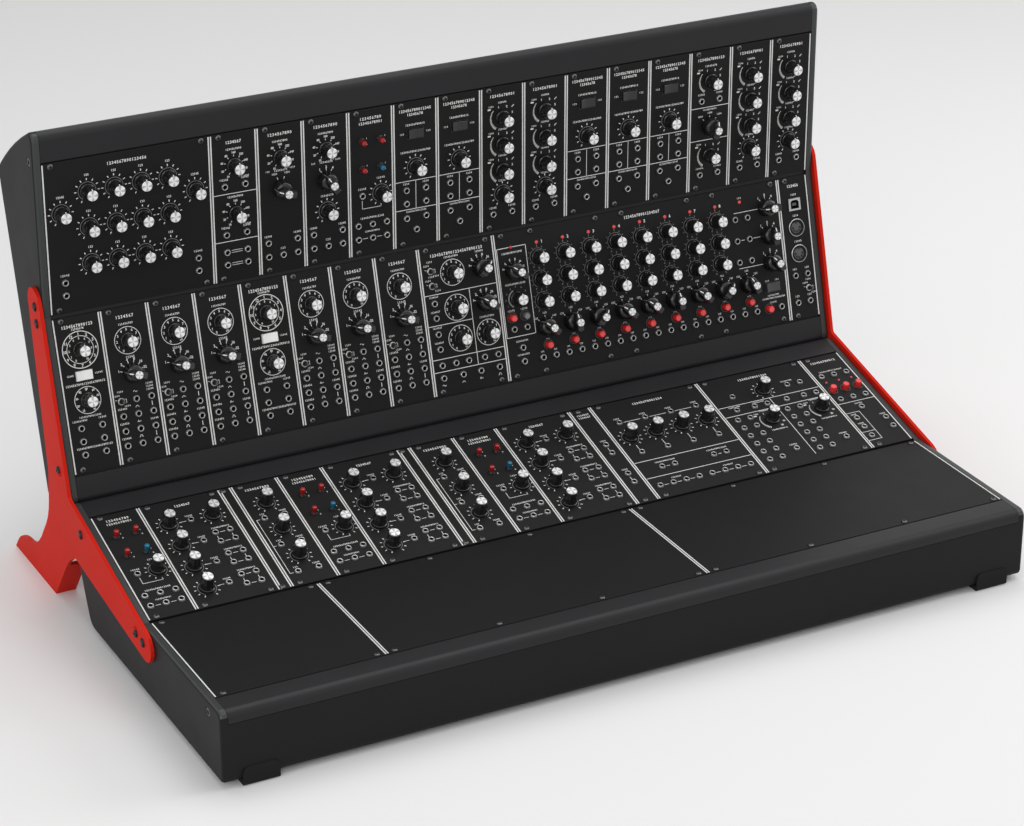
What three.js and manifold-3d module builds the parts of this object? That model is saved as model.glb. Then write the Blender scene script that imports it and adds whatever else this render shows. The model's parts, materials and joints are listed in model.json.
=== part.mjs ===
// Modular synthesizer: two low cases, the upper one stood up at the back on a pair of bent sheet brackets,
// filled with four rows of modules on a common panel grid.
//
// Axes: X to the player's right, Y to the back, Z up. The origin is on the floor, under the middle of the
// whole thing. Every length is in millimetres.
import * as THREE from 'three';
import { mergeVertices } from 'three/addons/utils/BufferGeometryUtils.js';
import Module from 'manifold-3d';

const wasm = await Module();
wasm.setup();

// Panel grid: one unit of width, the panels' height and their place on the rails
const hp = 5.08;
const rowUnits = 140;
const panelHeight = 128.5;
const panelThick = 2;
const panelSideGap = 0.17;
const creaseGap = 3.4;
const slopeDeg = 15;
const standDeg = 75;

// Case shells, both alike
const caseDepth = 60.5;
const shellWall = 2.5;
const sideClear = 0.25;
const sideThick = 6.2;
const edgeRound = 2.2;
const frontBaseRound = 4;
const rearBaseRound = 12;
const rearTopLeanDeg = 11.5;
const rearBaseLeanDeg = 26;
const seatGap = 0.3;

// Rails, with the rounded lip that closes the case beyond the panels
const lipReach = 25.3;
const lipRadius = 7;
const lipDrop = 10;
const lipThick = 2.2;
const lipGap = 1.5;
const seamGap = 0.4;
const railWidth = 9;
const railDepth = 9.2;
const railSlot = 3.2;
const railNutWidth = 6.2;
const railNutTop = 2;
const railNutDepth = 3.6;
const railScrewLine = 3;
const railWall = 1.6;

// How the upper case stands against the lower one
const caseGap = 0.5;
const touchDeg = 32.6;

// Brackets
const bracketThick = 3;
const bracketProud = 4;
const armEndRadius = 13;
const armEndRun = 15;
const lowArmEndRun = 17;
const armRoot = 42;
const flangeWidth = 17.5;
const bracketScrewRadius = 3.1;
const bracketScrewRise = 1.7;
const bracketShankRadius = 1.9;
const bracketScrewDepth = 9;
const shankClear = 0.3;

// Rubber feet under the lower case
const footLift = 4.5;
const footWidth = 30;
const footLength = 34;
const footProud = 2.2;
const footClimb = 11;
const footRound = 3;
const footCorner = 5;
const footInset = 31;

// Round recesses for the screws that hold the rails to a case's sides
const sideRecessRadius = 4.2;
const sideRecessDepth = 1;
const sideRecessDrop = 10;

// Electronics: what lies behind a module's panel, and the supply board on the case floor
const moduleBlockDepth = 9.5;
const moduleBoardThick = 1.6;
const moduleSideInset = 1.6;
const moduleEndInset = 12;
const supplyLength = 560;
const supplyWidth = 64;
const supplyThick = 1.6;
const supplyPostHeight = 6;
const supplyPostRadius = 3;
const supplyHeaderLength = 24;
const supplyHeaderWidth = 9;
const supplyHeaderHeight = 9;
const supplyHeaderPitch = 36;
const supplyHeaderCount = 14;

// Rotary knobs
const knobRadius = 6.4;
const knobSkirt = 1.8;
const knobTopRadius = 5.2;
const knobHeight = 12.8;
const knobCapRadius = 4.4;
const knobCapRise = 0.6;
const knobFlutes = 8;
const knobFluteDepth = 0.55;
const knobPointerWidth = 1.4;
const knobLift = 0.5;
const shaftRadius = 3;
const shaftLength = 9;
const shaftClear = 0.5;

// Selector knobs: a round foot, a bar across it and a metal cap
const selectorRadius = 8.75;
const selectorShoulder = 7.4;
const selectorFootHeight = 8;
const selectorBarWidth = 6.4;
const selectorNose = 10.6;
const selectorNoseWidth = 2.4;
const selectorTail = 8.4;
const selectorBarTop = 15.6;
const selectorCapRadius = 3.35;
const selectorCapTop = 17.4;

// Toggles, rockers and push buttons
const bushRadius = 3.1;
const bushHeight = 1.6;
const bushHole = 2.5;
const leverRoot = 1.7;
const leverTip = 2.2;
const leverLength = 9.2;
const metalLeverLength = 7.5;
const metalLeverTip = 1.5;
const metalLeverRoot = 1;
const leverSwingDeg = 12;
const rockerLength = 14.4;
const rockerWidth = 8;
const rockerRise = 2.6;
const rockerDepth = 3.4;
const rockerSwingDeg = 8;
const rockerClear = 0.45;
const buttonRadius = 3.3;
const buttonRise = 6.2;
const buttonTravel = 1.5;
const buttonClear = 0.4;
const buttonGuide = 4;

// Chassis sockets of the small digital module
const dinRadius = 8.2;
const dinInner = 7.2;
const dinRise = 0.9;
const dinRecess = 1.2;
const dinKeyWidth = 2.4;
const usbWidth = 12.4;
const usbHeight = 11.2;
const usbRise = 1.2;
const usbBoreWidth = 8.5;
const usbBoreHeight = 7.8;
const usbBoreCorner = 1.7;
const usbDepth = 9;
const usbTongueWidth = 5.6;
const usbTongueHeight = 3.2;

const overrun = 4;
const tiny = 0.05;
const seatMargin = 0.2;
const mergeWithin = 0.01;

// Colours and finishes
const finish = (color, roughness, metalness) => (
  new THREE.MeshStandardMaterial({ color, roughness, metalness })
);
const shellBlack = finish(0x1d1d1f, 0.6, 0.2);
const railBlack = finish(0x232325, 0.5, 0.4);
const panelBlack = finish(0x1a1a1c, 0.55, 0.3);
const bracketRed = finish(0xd63a2c, 0.45, 0.2);
const rubberBlack = finish(0x101011, 0.9, 0);
const knobBlack = finish(0x131314, 0.4, 0);
const buttonRed = finish(0xd02a24, 0.4, 0);
const buttonGrey = finish(0x55565a, 0.4, 0);
const leverRed = finish(0xc02020, 0.4, 0);
const leverBlue = finish(0x1d84ad, 0.4, 0);
const metal = finish(0xc4c6c8, 0.3, 1);
const rockerWhite = finish(0xe9e9e6, 0.4, 0);
const boardGreen = finish(0x1f4a2e, 0.6, 0);

const rad = THREE.MathUtils.degToRad;
const rowWidth = rowUnits * hp;
const innerHalf = rowWidth / 2 + sideClear;
const outerHalf = innerHalf + sideThick;

// Turns a three.js geometry into a solid, with shared corners and faces pointing out
function solid(geometry, matrix) {
  const bare = geometry.clone();
  bare.deleteAttribute('normal');
  bare.deleteAttribute('uv');
  if (matrix) bare.applyMatrix4(matrix);
  const merged = mergeVertices(bare);
  const points = new Float32Array(merged.attributes.position.array);
  const corners = [];
  const index = merged.index.array;
  let volume = 0;
  const a = new THREE.Vector3();
  const b = new THREE.Vector3();
  const c = new THREE.Vector3();
  for (let i = 0; i < index.length; i += 3) {
    const [p, q, r] = [index[i], index[i + 1], index[i + 2]];
    if (p === q || q === r || r === p) continue;
    corners.push(p, q, r);
    a.fromArray(points, 3 * p);
    b.fromArray(points, 3 * q);
    c.fromArray(points, 3 * r);
    volume += a.dot(b.cross(c));
  }
  if (volume < 0) corners.reverse();
  const triVerts = new Uint32Array(corners);
  return new wasm.Manifold(new wasm.Mesh({ numProp: 3, vertProperties: points, triVerts }));
}

// A solid moved by a three.js matrix
function moved(body, matrix) {
  return body.transform(matrix.elements);
}

function joined(bodies) {
  return bodies.reduce((sum, body) => sum.add(body));
}

// A named mesh of a solid, hung in a group
function addMesh(name, body, material, parent, position) {
  const got = body.simplify(mergeWithin).getMesh();
  const geometry = new THREE.BufferGeometry();
  geometry.setAttribute('position', new THREE.BufferAttribute(new Float32Array(got.vertProperties), 3));
  geometry.setIndex(new THREE.BufferAttribute(new Uint32Array(got.triVerts), 1));
  geometry.computeVertexNormals();
  const mesh = new THREE.Mesh(geometry, material);
  mesh.name = name;
  if (position) mesh.position.copy(position);
  parent.add(mesh);
  return mesh;
}

// A box between two corners
function block(low, high) {
  const size = new THREE.Vector3().subVectors(high, low);
  const geometry = new THREE.BoxGeometry(size.x, size.y, size.z);
  geometry.translate((low.x + high.x) / 2, (low.y + high.y) / 2, (low.z + high.z) / 2);
  return solid(geometry);
}

const at = (x, y, z) => new THREE.Vector3(x, y, z);
const flat = (x, y) => new THREE.Vector2(x, y);

// A body turned round +Z from a profile of radius and height, closed on the axis
function turned(profile, sides, turnDeg = 0) {
  const geometry = new THREE.LatheGeometry(profile.map(([r, z]) => flat(r, z)), sides);
  geometry.rotateX(rad(90));
  geometry.rotateZ(rad(turnDeg));
  return solid(geometry);
}

// A prism along +Z with its outline in X and Y
function upright(shape, low, high, curveSegments = 6) {
  const depth = high - low;
  const geometry = new THREE.ExtrudeGeometry(shape, { depth, bevelEnabled: false, curveSegments });
  geometry.translate(0, 0, low);
  return solid(geometry);
}

// A prism along X with its outline in Y and Z, its ends rounded by an optional bevel
const lyingDown = new THREE.Matrix4().makeBasis(at(0, 1, 0), at(0, 0, 1), at(1, 0, 0));
function alongX(shape, low, high, round = 0, curveSegments = 6) {
  const geometry = new THREE.ExtrudeGeometry(shape, {
    depth: high - low - 2 * round,
    curveSegments,
    bevelEnabled: round > 0,
    bevelThickness: round,
    bevelSize: round,
    bevelOffset: -round,
    bevelSegments: 2,
  });
  geometry.translate(0, 0, low + round);
  return solid(geometry, lyingDown);
}

function outline(points) {
  const shape = new THREE.Shape();
  points.forEach((p, i) => (i ? shape.lineTo(p.x, p.y) : shape.moveTo(p.x, p.y)));
  return shape;
}

// Points of an arc about a centre, from one direction to another
function arcPoints(centre, radius, fromDeg, toDeg, steps) {
  const points = [];
  for (let i = 0; i <= steps; i += 1) {
    const angle = rad(fromDeg + ((toDeg - fromDeg) * i) / steps);
    points.push(flat(centre.x + radius * Math.cos(angle), centre.y + radius * Math.sin(angle)));
  }
  return points;
}

// A row's frame in the plane of the case's side: v runs up the panels and n stands out of them
function rowFrame(origin, deg) {
  const u = flat(Math.cos(rad(deg)), Math.sin(rad(deg)));
  const n = flat(-u.y, u.x);
  return {
    deg,
    origin,
    at: (v, out) => flat(origin.x + u.x * v + n.x * out, origin.y + u.y * v + n.y * out),
  };
}

// The case's side profile: row A lies flat, row B slopes up behind it
const rowA = rowFrame(flat(0, 0), 0);
const creaseStart = flat(
  panelHeight + creaseGap * Math.cos(rad(slopeDeg / 2)),
  creaseGap * Math.sin(rad(slopeDeg / 2)),
);
const rowB = rowFrame(creaseStart, slopeDeg);
const frontArc = rowA.at(lipRadius - lipReach, -lipRadius);
const rearArc = rowB.at(panelHeight + lipReach - lipRadius, -lipRadius);
const rearTop = flat(
  rearArc.x + lipRadius * Math.cos(rad(rearTopLeanDeg)),
  rearArc.y - lipRadius * Math.sin(rad(rearTopLeanDeg)),
);
const baseT = -caseDepth;
const rearBow = (rearTop.y - baseT - rearBaseRound * (1 - Math.sin(rad(rearBaseLeanDeg))))
  / (Math.sin(rad(rearBaseLeanDeg)) - Math.sin(rad(rearTopLeanDeg)));
const rearBowCentre = flat(
  rearTop.x - rearBow * Math.cos(rad(rearTopLeanDeg)),
  rearTop.y + rearBow * Math.sin(rad(rearTopLeanDeg)),
);
const rearBaseArc = flat(
  rearBowCentre.x + (rearBow - rearBaseRound) * Math.cos(rad(rearBaseLeanDeg)),
  baseT + rearBaseRound,
);

function caseOutline(inset) {
  const base = Math.max(frontBaseRound - inset, tiny);
  const front = flat(-lipReach + frontBaseRound, baseT + frontBaseRound);
  return [
    ...arcPoints(rearBowCentre, rearBow - inset, -rearTopLeanDeg, -rearBaseLeanDeg, 5),
    ...arcPoints(rearBaseArc, rearBaseRound - inset, -rearBaseLeanDeg, -90, 4).slice(1),
    ...arcPoints(front, base, -90, -180, 2),
  ];
}

function caseTray() {
  const topFront = arcPoints(frontArc, lipRadius, 180, 90, 4);
  const topRear = arcPoints(rearArc, lipRadius, 90 + slopeDeg, -rearTopLeanDeg, 5);
  const crease = flat(panelHeight + creaseGap / 2, 0);
  const outer = outline([...caseOutline(0), ...topFront, crease, ...topRear.slice(0, -1)]);
  const shell = alongX(outer, -outerHalf, outerHalf, edgeRound);
  const inside = caseOutline(shellWall);
  const high = panelHeight;
  const seamRear = rearBowCentre.clone().add(
    flat(Math.cos(rad(-rearTopLeanDeg)), Math.sin(rad(-rearTopLeanDeg))).multiplyScalar(rearBow + overrun),
  );
  const hollow = outline([
    ...inside,
    flat(-lipReach + shellWall, -lipDrop - seamGap),
    flat(-lipReach - overrun, -lipDrop - seamGap),
    flat(-lipReach - overrun, high),
    flat(seamRear.x + overrun, high),
    seamRear,
  ]);
  let tray = shell.subtract(alongX(hollow, -innerHalf, innerHalf));
  const recess = turned([
    [0, -sideRecessDepth],
    [sideRecessRadius, -sideRecessDepth],
    [sideRecessRadius, overrun],
    [0, overrun],
  ], 10);
  const places = [rowA.at(-railScrewLine / 2, -sideRecessDrop), rowB.at(panelHeight, -sideRecessDrop)];
  for (const place of places) tray = tray.subtract(onSides(recess, place));
  return tray;
}

// A body standing on a case's right side at a place of the side's plane, with its mirror image on the left
function onSides(body, place) {
  const seat = new THREE.Matrix4().makeRotationY(rad(90)).setPosition(at(outerHalf, place.x, place.y));
  const right = moved(body, seat);
  return right.add(moved(right, new THREE.Matrix4().makeScale(-1, 1, 1)));
}

// A slot for the panel nuts along a rail, as it cuts into the rail's top; mirror -1 runs it the other way
function nutSlot(frame, line) {
  const land = -panelThick - seatGap;
  const half = railSlot / 2;
  const wide = railNutWidth / 2;
  return [
    frame.at(line - half, land),
    frame.at(line - half, land - railNutTop),
    frame.at(line - wide, land - railNutTop),
    frame.at(line - wide, land - railNutTop - railNutDepth),
    frame.at(line + wide, land - railNutTop - railNutDepth),
    frame.at(line + wide, land - railNutTop),
    frame.at(line + half, land - railNutTop),
    frame.at(line + half, land),
  ];
}

const landDrop = -panelThick - seatGap;
const railBase = landDrop - railDepth;
const railHalf = innerHalf - seatGap;

// Rail under the lower edge of row A, in one with the front lip
function frontRail() {
  const inner = lipRadius - lipThick;
  return alongX(outline([
    rowA.at(-lipReach, -lipDrop),
    ...arcPoints(frontArc, lipRadius, 180, 90, 6),
    rowA.at(-lipGap, 0),
    rowA.at(-lipGap, landDrop),
    ...nutSlot(rowA, railScrewLine),
    rowA.at(railWidth, landDrop),
    rowA.at(railWidth, railBase),
    rowA.at(-lipGap - railWall, railBase),
    rowA.at(-lipGap - railWall, -lipThick),
    ...arcPoints(frontArc, inner, 90, 180, 4),
    rowA.at(-lipReach + lipThick, -lipDrop),
  ]), -railHalf, railHalf);
}

// Rail under the upper edge of row B, in one with the rear lip
function rearRail() {
  const inner = lipRadius - lipThick;
  const top = panelHeight;
  const seamDeg = THREE.MathUtils.radToDeg(seamGap / lipRadius) - rearTopLeanDeg;
  return alongX(outline([
    ...arcPoints(rearArc, inner, seamDeg, 90 + slopeDeg, 5),
    rowB.at(top + lipGap + railWall, -lipThick),
    rowB.at(top + lipGap + railWall, railBase),
    rowB.at(top - railWidth, railBase),
    rowB.at(top - railWidth, landDrop),
    ...nutSlot(rowB, top - railScrewLine),
    rowB.at(top + lipGap, landDrop),
    rowB.at(top + lipGap, 0),
    ...arcPoints(rearArc, lipRadius, 90 + slopeDeg, seamDeg, 7),
  ]), -railHalf, railHalf);
}

// Bent rail under the crease, which carries both rows
function middleRail() {
  const half = creaseGap / 2;
  return alongX(outline([
    rowA.at(panelHeight - railWidth, railBase),
    rowA.at(panelHeight - railWidth, landDrop),
    ...nutSlot(rowA, panelHeight - railScrewLine),
    rowA.at(panelHeight + half, landDrop),
    ...nutSlot(rowB, railScrewLine),
    rowB.at(railWidth, landDrop),
    rowB.at(railWidth, railBase),
    rowA.at(panelHeight + half, railBase),
  ]), -railHalf, railHalf);
}

// Knobs and switches, standing on a panel whose face is at zero
function fluted(profile, flutes, depth, fromRadius, toRadius) {
  const geometry = new THREE.LatheGeometry(profile.map(([r, z]) => flat(r, z)), 2 * flutes);
  const place = geometry.attributes.position;
  for (let i = 0; i < place.count; i += 1) {
    const x = place.getX(i);
    const z = place.getZ(i);
    const r = Math.hypot(x, z);
    const step = Math.round((Math.atan2(x, z) * flutes) / Math.PI);
    if (r < fromRadius || r > toRadius || step % 2 === 0) continue;
    place.setX(i, (x * (r - depth)) / r);
    place.setZ(i, (z * (r - depth)) / r);
  }
  geometry.rotateX(rad(90));
  return solid(geometry);
}

function controlShaft() {
  return turned([
    [0, -shaftLength],
    [shaftRadius, -shaftLength],
    [shaftRadius, knobSkirt],
    [0, knobSkirt],
  ], 10);
}

function potKnob() {
  const body = fluted([
    [0, knobLift],
    [knobRadius, knobLift],
    [knobRadius, knobLift + knobSkirt],
    [knobTopRadius, knobHeight],
    [knobCapRadius, knobHeight],
    [knobCapRadius, knobHeight + knobCapRise],
    [0, knobHeight + knobCapRise],
  ], knobFlutes, knobFluteDepth, knobCapRadius + tiny, knobRadius - tiny);
  const half = knobPointerWidth / 2;
  const top = knobHeight + knobCapRise;
  const pointer = block(at(-half, knobCapRadius / 2, knobHeight / 2), at(half, knobTopRadius - tiny, top));
  return joined([body, pointer, controlShaft()]);
}

function plainKnob() {
  return turned([[0, -tiny], [knobRadius, -tiny], [knobTopRadius, knobHeight], [0, knobHeight]], 7);
}

function selectorBar(top) {
  const half = selectorBarWidth / 2;
  const nose = selectorNoseWidth / 2;
  return upright(outline([
    flat(-half, -selectorTail),
    flat(half, -selectorTail),
    flat(half, selectorNoseWidth),
    flat(nose, selectorNose),
    flat(-nose, selectorNose),
    flat(-half, selectorNoseWidth),
  ]), knobLift + knobSkirt, top);
}

function selectorKnob() {
  const foot = turned([
    [0, knobLift],
    [selectorRadius, knobLift],
    [selectorRadius, knobLift + knobSkirt],
    [selectorShoulder, selectorFootHeight],
    [0, selectorFootHeight],
  ], 16);
  const cap = turned([
    [0, selectorFootHeight - tiny],
    [selectorCapRadius, selectorFootHeight - tiny],
    [selectorCapRadius, selectorCapTop],
    [0, selectorCapTop],
  ], 12);
  return joined([foot, selectorBar(selectorBarTop), cap, controlShaft()]);
}

function plainSelector() {
  const foot = turned([
    [0, -tiny],
    [selectorRadius, -tiny],
    [selectorShoulder, selectorFootHeight],
    [0, selectorFootHeight],
  ], 8, 22.5);
  return foot.add(selectorBar(selectorCapTop));
}

function lever(length, tip, root, sides) {
  return turned([[0, -bushHeight / 2], [root, -bushHeight / 2], [tip, length - tip], [0, length]], sides);
}

function plainToggle(length, tip, root) {
  const bush = turned([[0, -tiny], [bushRadius, -tiny], [bushRadius, bushHeight], [0, bushHeight]], 6);
  return bush.add(lever(length, tip, root, 5));
}

function rocker() {
  const half = rockerLength / 2;
  const reach = Math.hypot(half, rockerRise);
  const crown = rockerRise - half * Math.tan(rad(rockerSwingDeg));
  const sideDeg = THREE.MathUtils.radToDeg(Math.atan2(rockerRise, half));
  const profile = outline([
    ...arcPoints(flat(0, 0), reach, -sideDeg, sideDeg, 3),
    flat(0, Math.max(crown, rockerRise / 2)),
    ...arcPoints(flat(0, 0), reach, 180 - sideDeg, 180 + sideDeg, 3),
    flat(0, -rockerDepth),
  ]);
  const body = upright(profile, -rockerWidth / 2, rockerWidth / 2);
  const upright90 = new THREE.Matrix4().makeRotationX(rad(90));
  return moved(body, upright90);
}

function plainRocker() {
  const half = rockerLength / 2;
  return block(at(-half, -rockerWidth / 2, -tiny), at(half, rockerWidth / 2, rockerRise));
}

function pushButton() {
  const edge = buttonRadius / 8;
  return turned([
    [0, -buttonGuide],
    [buttonRadius - edge, -buttonGuide],
    [buttonRadius, -buttonGuide + edge],
    [buttonRadius, buttonRise - edge],
    [buttonRadius - edge, buttonRise],
    [0, buttonRise],
  ], 16);
}

function plainButton() {
  return turned([[0, -tiny], [buttonRadius, -tiny], [buttonRadius, buttonRise], [0, buttonRise]], 7);
}

// What a moving control needs cut out of the panel and of the block behind it
const cutFloor = -panelThick - moduleBlockDepth + tiny;
function bore(radius, floor, sides) {
  return turned([[0, floor], [radius, floor], [radius, overrun], [0, overrun]], sides);
}

const kinds = {
  knob: {
    still: plainKnob,
    moving: potKnob,
    cut: () => bore(shaftRadius + shaftClear, -shaftLength - shaftClear, 12),
    material: knobBlack,
  },
  selector: {
    still: plainSelector,
    moving: selectorKnob,
    cut: () => bore(shaftRadius + shaftClear, -shaftLength - shaftClear, 12),
    material: knobBlack,
  },
  toggle: {
    still: () => plainToggle(leverLength, leverTip, leverRoot),
    moving: () => lever(leverLength, leverTip, leverRoot, 10),
    bush: true,
  },
  metalToggle: {
    still: () => plainToggle(metalLeverLength, metalLeverTip, metalLeverRoot),
    moving: () => lever(metalLeverLength, metalLeverTip, metalLeverRoot, 10),
    bush: true,
    material: metal,
  },
  rocker: {
    still: plainRocker,
    moving: rocker,
    cut: () => {
      const half = Math.hypot(rockerLength / 2, rockerRise) + rockerClear;
      const side = rockerWidth / 2 + rockerClear;
      return block(at(-half, -side, -rockerDepth - rockerRise), at(half, side, overrun));
    },
    material: rockerWhite,
  },
  button: {
    still: plainButton,
    moving: pushButton,
    cut: () => bore(buttonRadius + buttonClear, -buttonGuide - buttonTravel - buttonClear, 16),
    material: buttonRed,
  },
};

// A control's place on its panel: across in grid units from the panel's middle, up as a share of its height
function placeOf(control) {
  return at(control.shares[0] * hp, control.shares[1] * panelHeight, 0);
}

function turnOf(control) {
  const matrix = new THREE.Matrix4().makeRotationZ(rad(control.turnDeg || 0));
  return matrix.setPosition(placeOf(control));
}

const list = (kind, places, extra = {}) => places.map((shares) => ({ kind, shares, ...extra }));
const pair = (across, up) => [[-across, up], [across, up]];

// Heights up the panels that the modules share, as shares of the panel's height
const topShare = 0.782;
const lowShare = 0.117;

// What stands on each kind of module. Turns are in degrees from pointing up.
const moduleKinds = {
  filter_bank: {
    units: 28,
    controls: [
      { kind: 'knob', shares: [-11.25, 0.663], turnDeg: 75, node: 'bank_low_knob' },
      { kind: 'knob', shares: [11.25, 0.663] },
      ...[topShare, 0.545, 0.307].flatMap((up) => list('knob', [...pair(2.25, up), ...pair(6.75, up)])),
    ],
  },
  filter: {
    units: 8,
    controls: [
      { kind: 'knob', shares: [0, topShare], node: 'filter_knob' },
      { kind: 'knob', shares: [0, 0.459] },
    ],
  },
  high_pass: {
    units: 8,
    controls: [
      { kind: 'knob', shares: [0, topShare] },
      { kind: 'selector', shares: [0, 0.568], turnDeg: 75, node: 'high_pass_selector' },
    ],
  },
  low_pass: {
    units: 8,
    controls: [
      { kind: 'knob', shares: [0, topShare] },
      { kind: 'selector', shares: [0, 0.568], turnDeg: 75 },
      { kind: 'knob', shares: [0, 0.361] },
    ],
  },
  control_voltages: {
    units: 8,
    controls: [
      { kind: 'toggle', shares: [-1.64, 0.786], node: 'red_toggle', material: leverRed },
      { kind: 'toggle', shares: [1.64, 0.786] },
      { kind: 'toggle', shares: [-1.64, 0.599] },
      { kind: 'toggle', shares: [1.64, 0.599], node: 'blue_toggle', material: leverBlue },
      { kind: 'knob', shares: [1.64, 0.416] },
    ],
  },
  amplifier: {
    units: 8,
    controls: [
      { kind: 'rocker', shares: [0, 0.78], node: 'amplifier_rocker', material: knobBlack },
      { kind: 'knob', shares: [0, 0.553] },
    ],
  },
  envelope: {
    units: 8,
    controls: [
      { kind: 'knob', shares: [0, topShare], node: 'envelope_knob' },
      ...list('knob', [[0, 0.599], [0, 0.416], [0, 0.253]]),
    ],
  },
  trigger_delay: {
    units: 8,
    controls: [
      { kind: 'knob', shares: [0, topShare] },
      { kind: 'selector', shares: [0, 0.461], turnDeg: 45 },
      { kind: 'knob', shares: [0, 0.251] },
    ],
  },
  oscillator_driver: {
    units: 8,
    controls: [
      { kind: 'knob', shares: [0, topShare], node: 'driver_tune_knob' },
      { kind: 'rocker', shares: [0, 0.619], node: 'driver_rocker' },
      { kind: 'knob', shares: [0, 0.458] },
    ],
  },
  oscillator: {
    units: 8,
    controls: [
      { kind: 'knob', shares: [0, topShare] },
      { kind: 'selector', shares: [0, 0.572], turnDeg: 75, node: 'oscillator_selector' },
      { kind: 'metalToggle', shares: [-2.56, 0.405], node: 'oscillator_toggle' },
    ],
  },
  wide_oscillator: {
    units: 14,
    controls: [
      { kind: 'metalToggle', shares: [-5.12, 0.837], node: 'wide_oscillator_toggle' },
      { kind: 'metalToggle', shares: [-5.12, 0.738] },
      ...list('knob', [[-1.1, 0.805], [-1.1, 0.569], [-1.1, 0.36], [4.2, 0.362]]),
      { kind: 'selector', shares: [4.16, 0.805], turnDeg: 90 },
      { kind: 'selector', shares: [4.16, 0.569], turnDeg: 53 },
    ],
  },
  sequencer: {
    units: 56,
    controls: [
      { kind: 'selector', shares: [-24.83, 0.735], turnDeg: 45 },
      { kind: 'knob', shares: [-24.85, 0.545] },
      { kind: 'button', shares: [-26.2, 0.423], node: 'sequencer_start_button' },
      { kind: 'button', shares: [-23.75, 0.423], node: 'sequencer_stop_button', material: buttonGrey },
      { kind: 'selector', shares: [25.16, 0.823], turnDeg: 90, node: 'sequencer_selector' },
      { kind: 'selector', shares: [25.16, 0.631], turnDeg: 0 },
      { kind: 'selector', shares: [25.16, 0.438], turnDeg: 35 },
      { kind: 'rocker', shares: [24.9, 0.265], node: 'sequencer_rocker', material: knobBlack },
      { kind: 'button', shares: [23.7, 0.118] },
      ...list('knob', [-20, -15, -10, -5, 0, 5, 10, 15].map((across) => [across, 0.646])),
      ...list('knob', [-20, -15, -10, -5, 0, 5, 10, 15].map((across) => [across, 0.498])),
      ...list('knob', [-15, -10, -5, 0, 5, 10, 15].map((across) => [across, 0.797])),
      { kind: 'knob', shares: [-20, 0.797], node: 'stage_knob' },
      { kind: 'selector', shares: [-20, 0.321], turnDeg: 45, node: 'stage_selector' },
      ...[0, -45, 45, 45, 0, 45, -45, 45].map((turnDeg, i) => (
        { kind: 'selector', shares: [-15 + 5 * i, 0.321], turnDeg }
      )),
      { kind: 'button', shares: [-20, 0.195], node: 'stage_button' },
      ...list('button', [-15, -10, -5, 0, 5, 10, 15, 20].map((across) => [across, 0.195])),
    ],
  },
  digital_input: {
    units: 6,
    controls: [
      { kind: 'metalToggle', shares: [1.25, 0.207] },
    ],
    usbShares: [0, 0.806],
    dinShares: [[0, 0.642], [0, 0.459]],
  },
  mixer: {
    units: 14,
    controls: [
      { kind: 'knob', shares: [-3.75, topShare], node: 'mixer_knob' },
      ...list('knob', [[-3.75, 0.574], [-3.75, 0.366], [-3.75, 0.159], [3.75, topShare]]),
    ],
  },
  narrow_blank: { units: 2, controls: [], empty: true },
  attenuators: {
    units: 8,
    controls: [
      { kind: 'knob', shares: [0, topShare], node: 'attenuator_knob' },
      ...list('knob', [[0, 0.519], [0, 0.257]]),
    ],
  },
  trigger_converter: { units: 4, controls: [] },
  wide_attenuators: {
    units: 21,
    controls: list('knob', [...pair(2.5, 0.625), ...pair(7.5, 0.625)]),
  },
  interface: {
    units: 21,
    controls: list('knob', [[0, topShare], [-2.5, 0.487], [7.5, 0.487]]),
  },
  sequential_switch: {
    units: 8,
    controls: [
      { kind: 'button', shares: [-2.56, 0.628], node: 'switch_button' },
      ...list('button', [[0, 0.628], [2.56, 0.628]]),
    ],
  },
  blank: { units: 28, controls: [], empty: true },
  wide_blank: { units: 56, controls: [], empty: true },
};

// The four rows, left to right. The first module of a kind is a piece of its own, and further ones
// share the piece of the rail that they are screwed to.
const rows = [
  {
    name: 'lower_front',
    modules: ['blank', 'wide_blank', 'wide_blank'],
  },
  {
    name: 'lower_rear',
    modules: [
      'control_voltages', 'mixer', 'narrow_blank', 'attenuators',
      'control_voltages', 'mixer', 'narrow_blank', 'attenuators',
      'control_voltages', 'mixer', 'trigger_converter', 'wide_attenuators',
      'interface', 'sequential_switch',
    ],
  },
  {
    name: 'upper_front',
    modules: [
      'oscillator_driver', 'oscillator', 'oscillator', 'oscillator',
      'oscillator_driver', 'oscillator', 'oscillator', 'oscillator',
      'wide_oscillator', 'sequencer', 'digital_input',
    ],
  },
  {
    name: 'upper_rear',
    modules: [
      'filter_bank', 'filter', 'high_pass', 'low_pass', 'control_voltages',
      'amplifier', 'amplifier', 'envelope', 'envelope',
      'amplifier', 'amplifier', 'amplifier', 'trigger_delay', 'envelope', 'envelope',
    ],
  },
];

function panelPlate(units) {
  const half = (units * hp) / 2 - panelSideGap;
  return block(at(-half, 0, -panelThick), at(half, panelHeight, 0));
}

// The pots, sockets and circuit board that hang behind a panel, between the rails
function moduleBlock(units) {
  const half = (units * hp) / 2 - moduleSideInset;
  const inner = half - moduleSideInset;
  const top = panelHeight - moduleEndInset;
  const back = -panelThick - moduleBlockDepth;
  const parts = block(
    at(-inner, moduleEndInset + moduleSideInset, back - tiny),
    at(inner, top - moduleSideInset, -panelThick + tiny),
  );
  const board = block(at(-half, moduleEndInset, back - moduleBoardThick), at(half, top, back));
  return parts.add(board);
}

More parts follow.
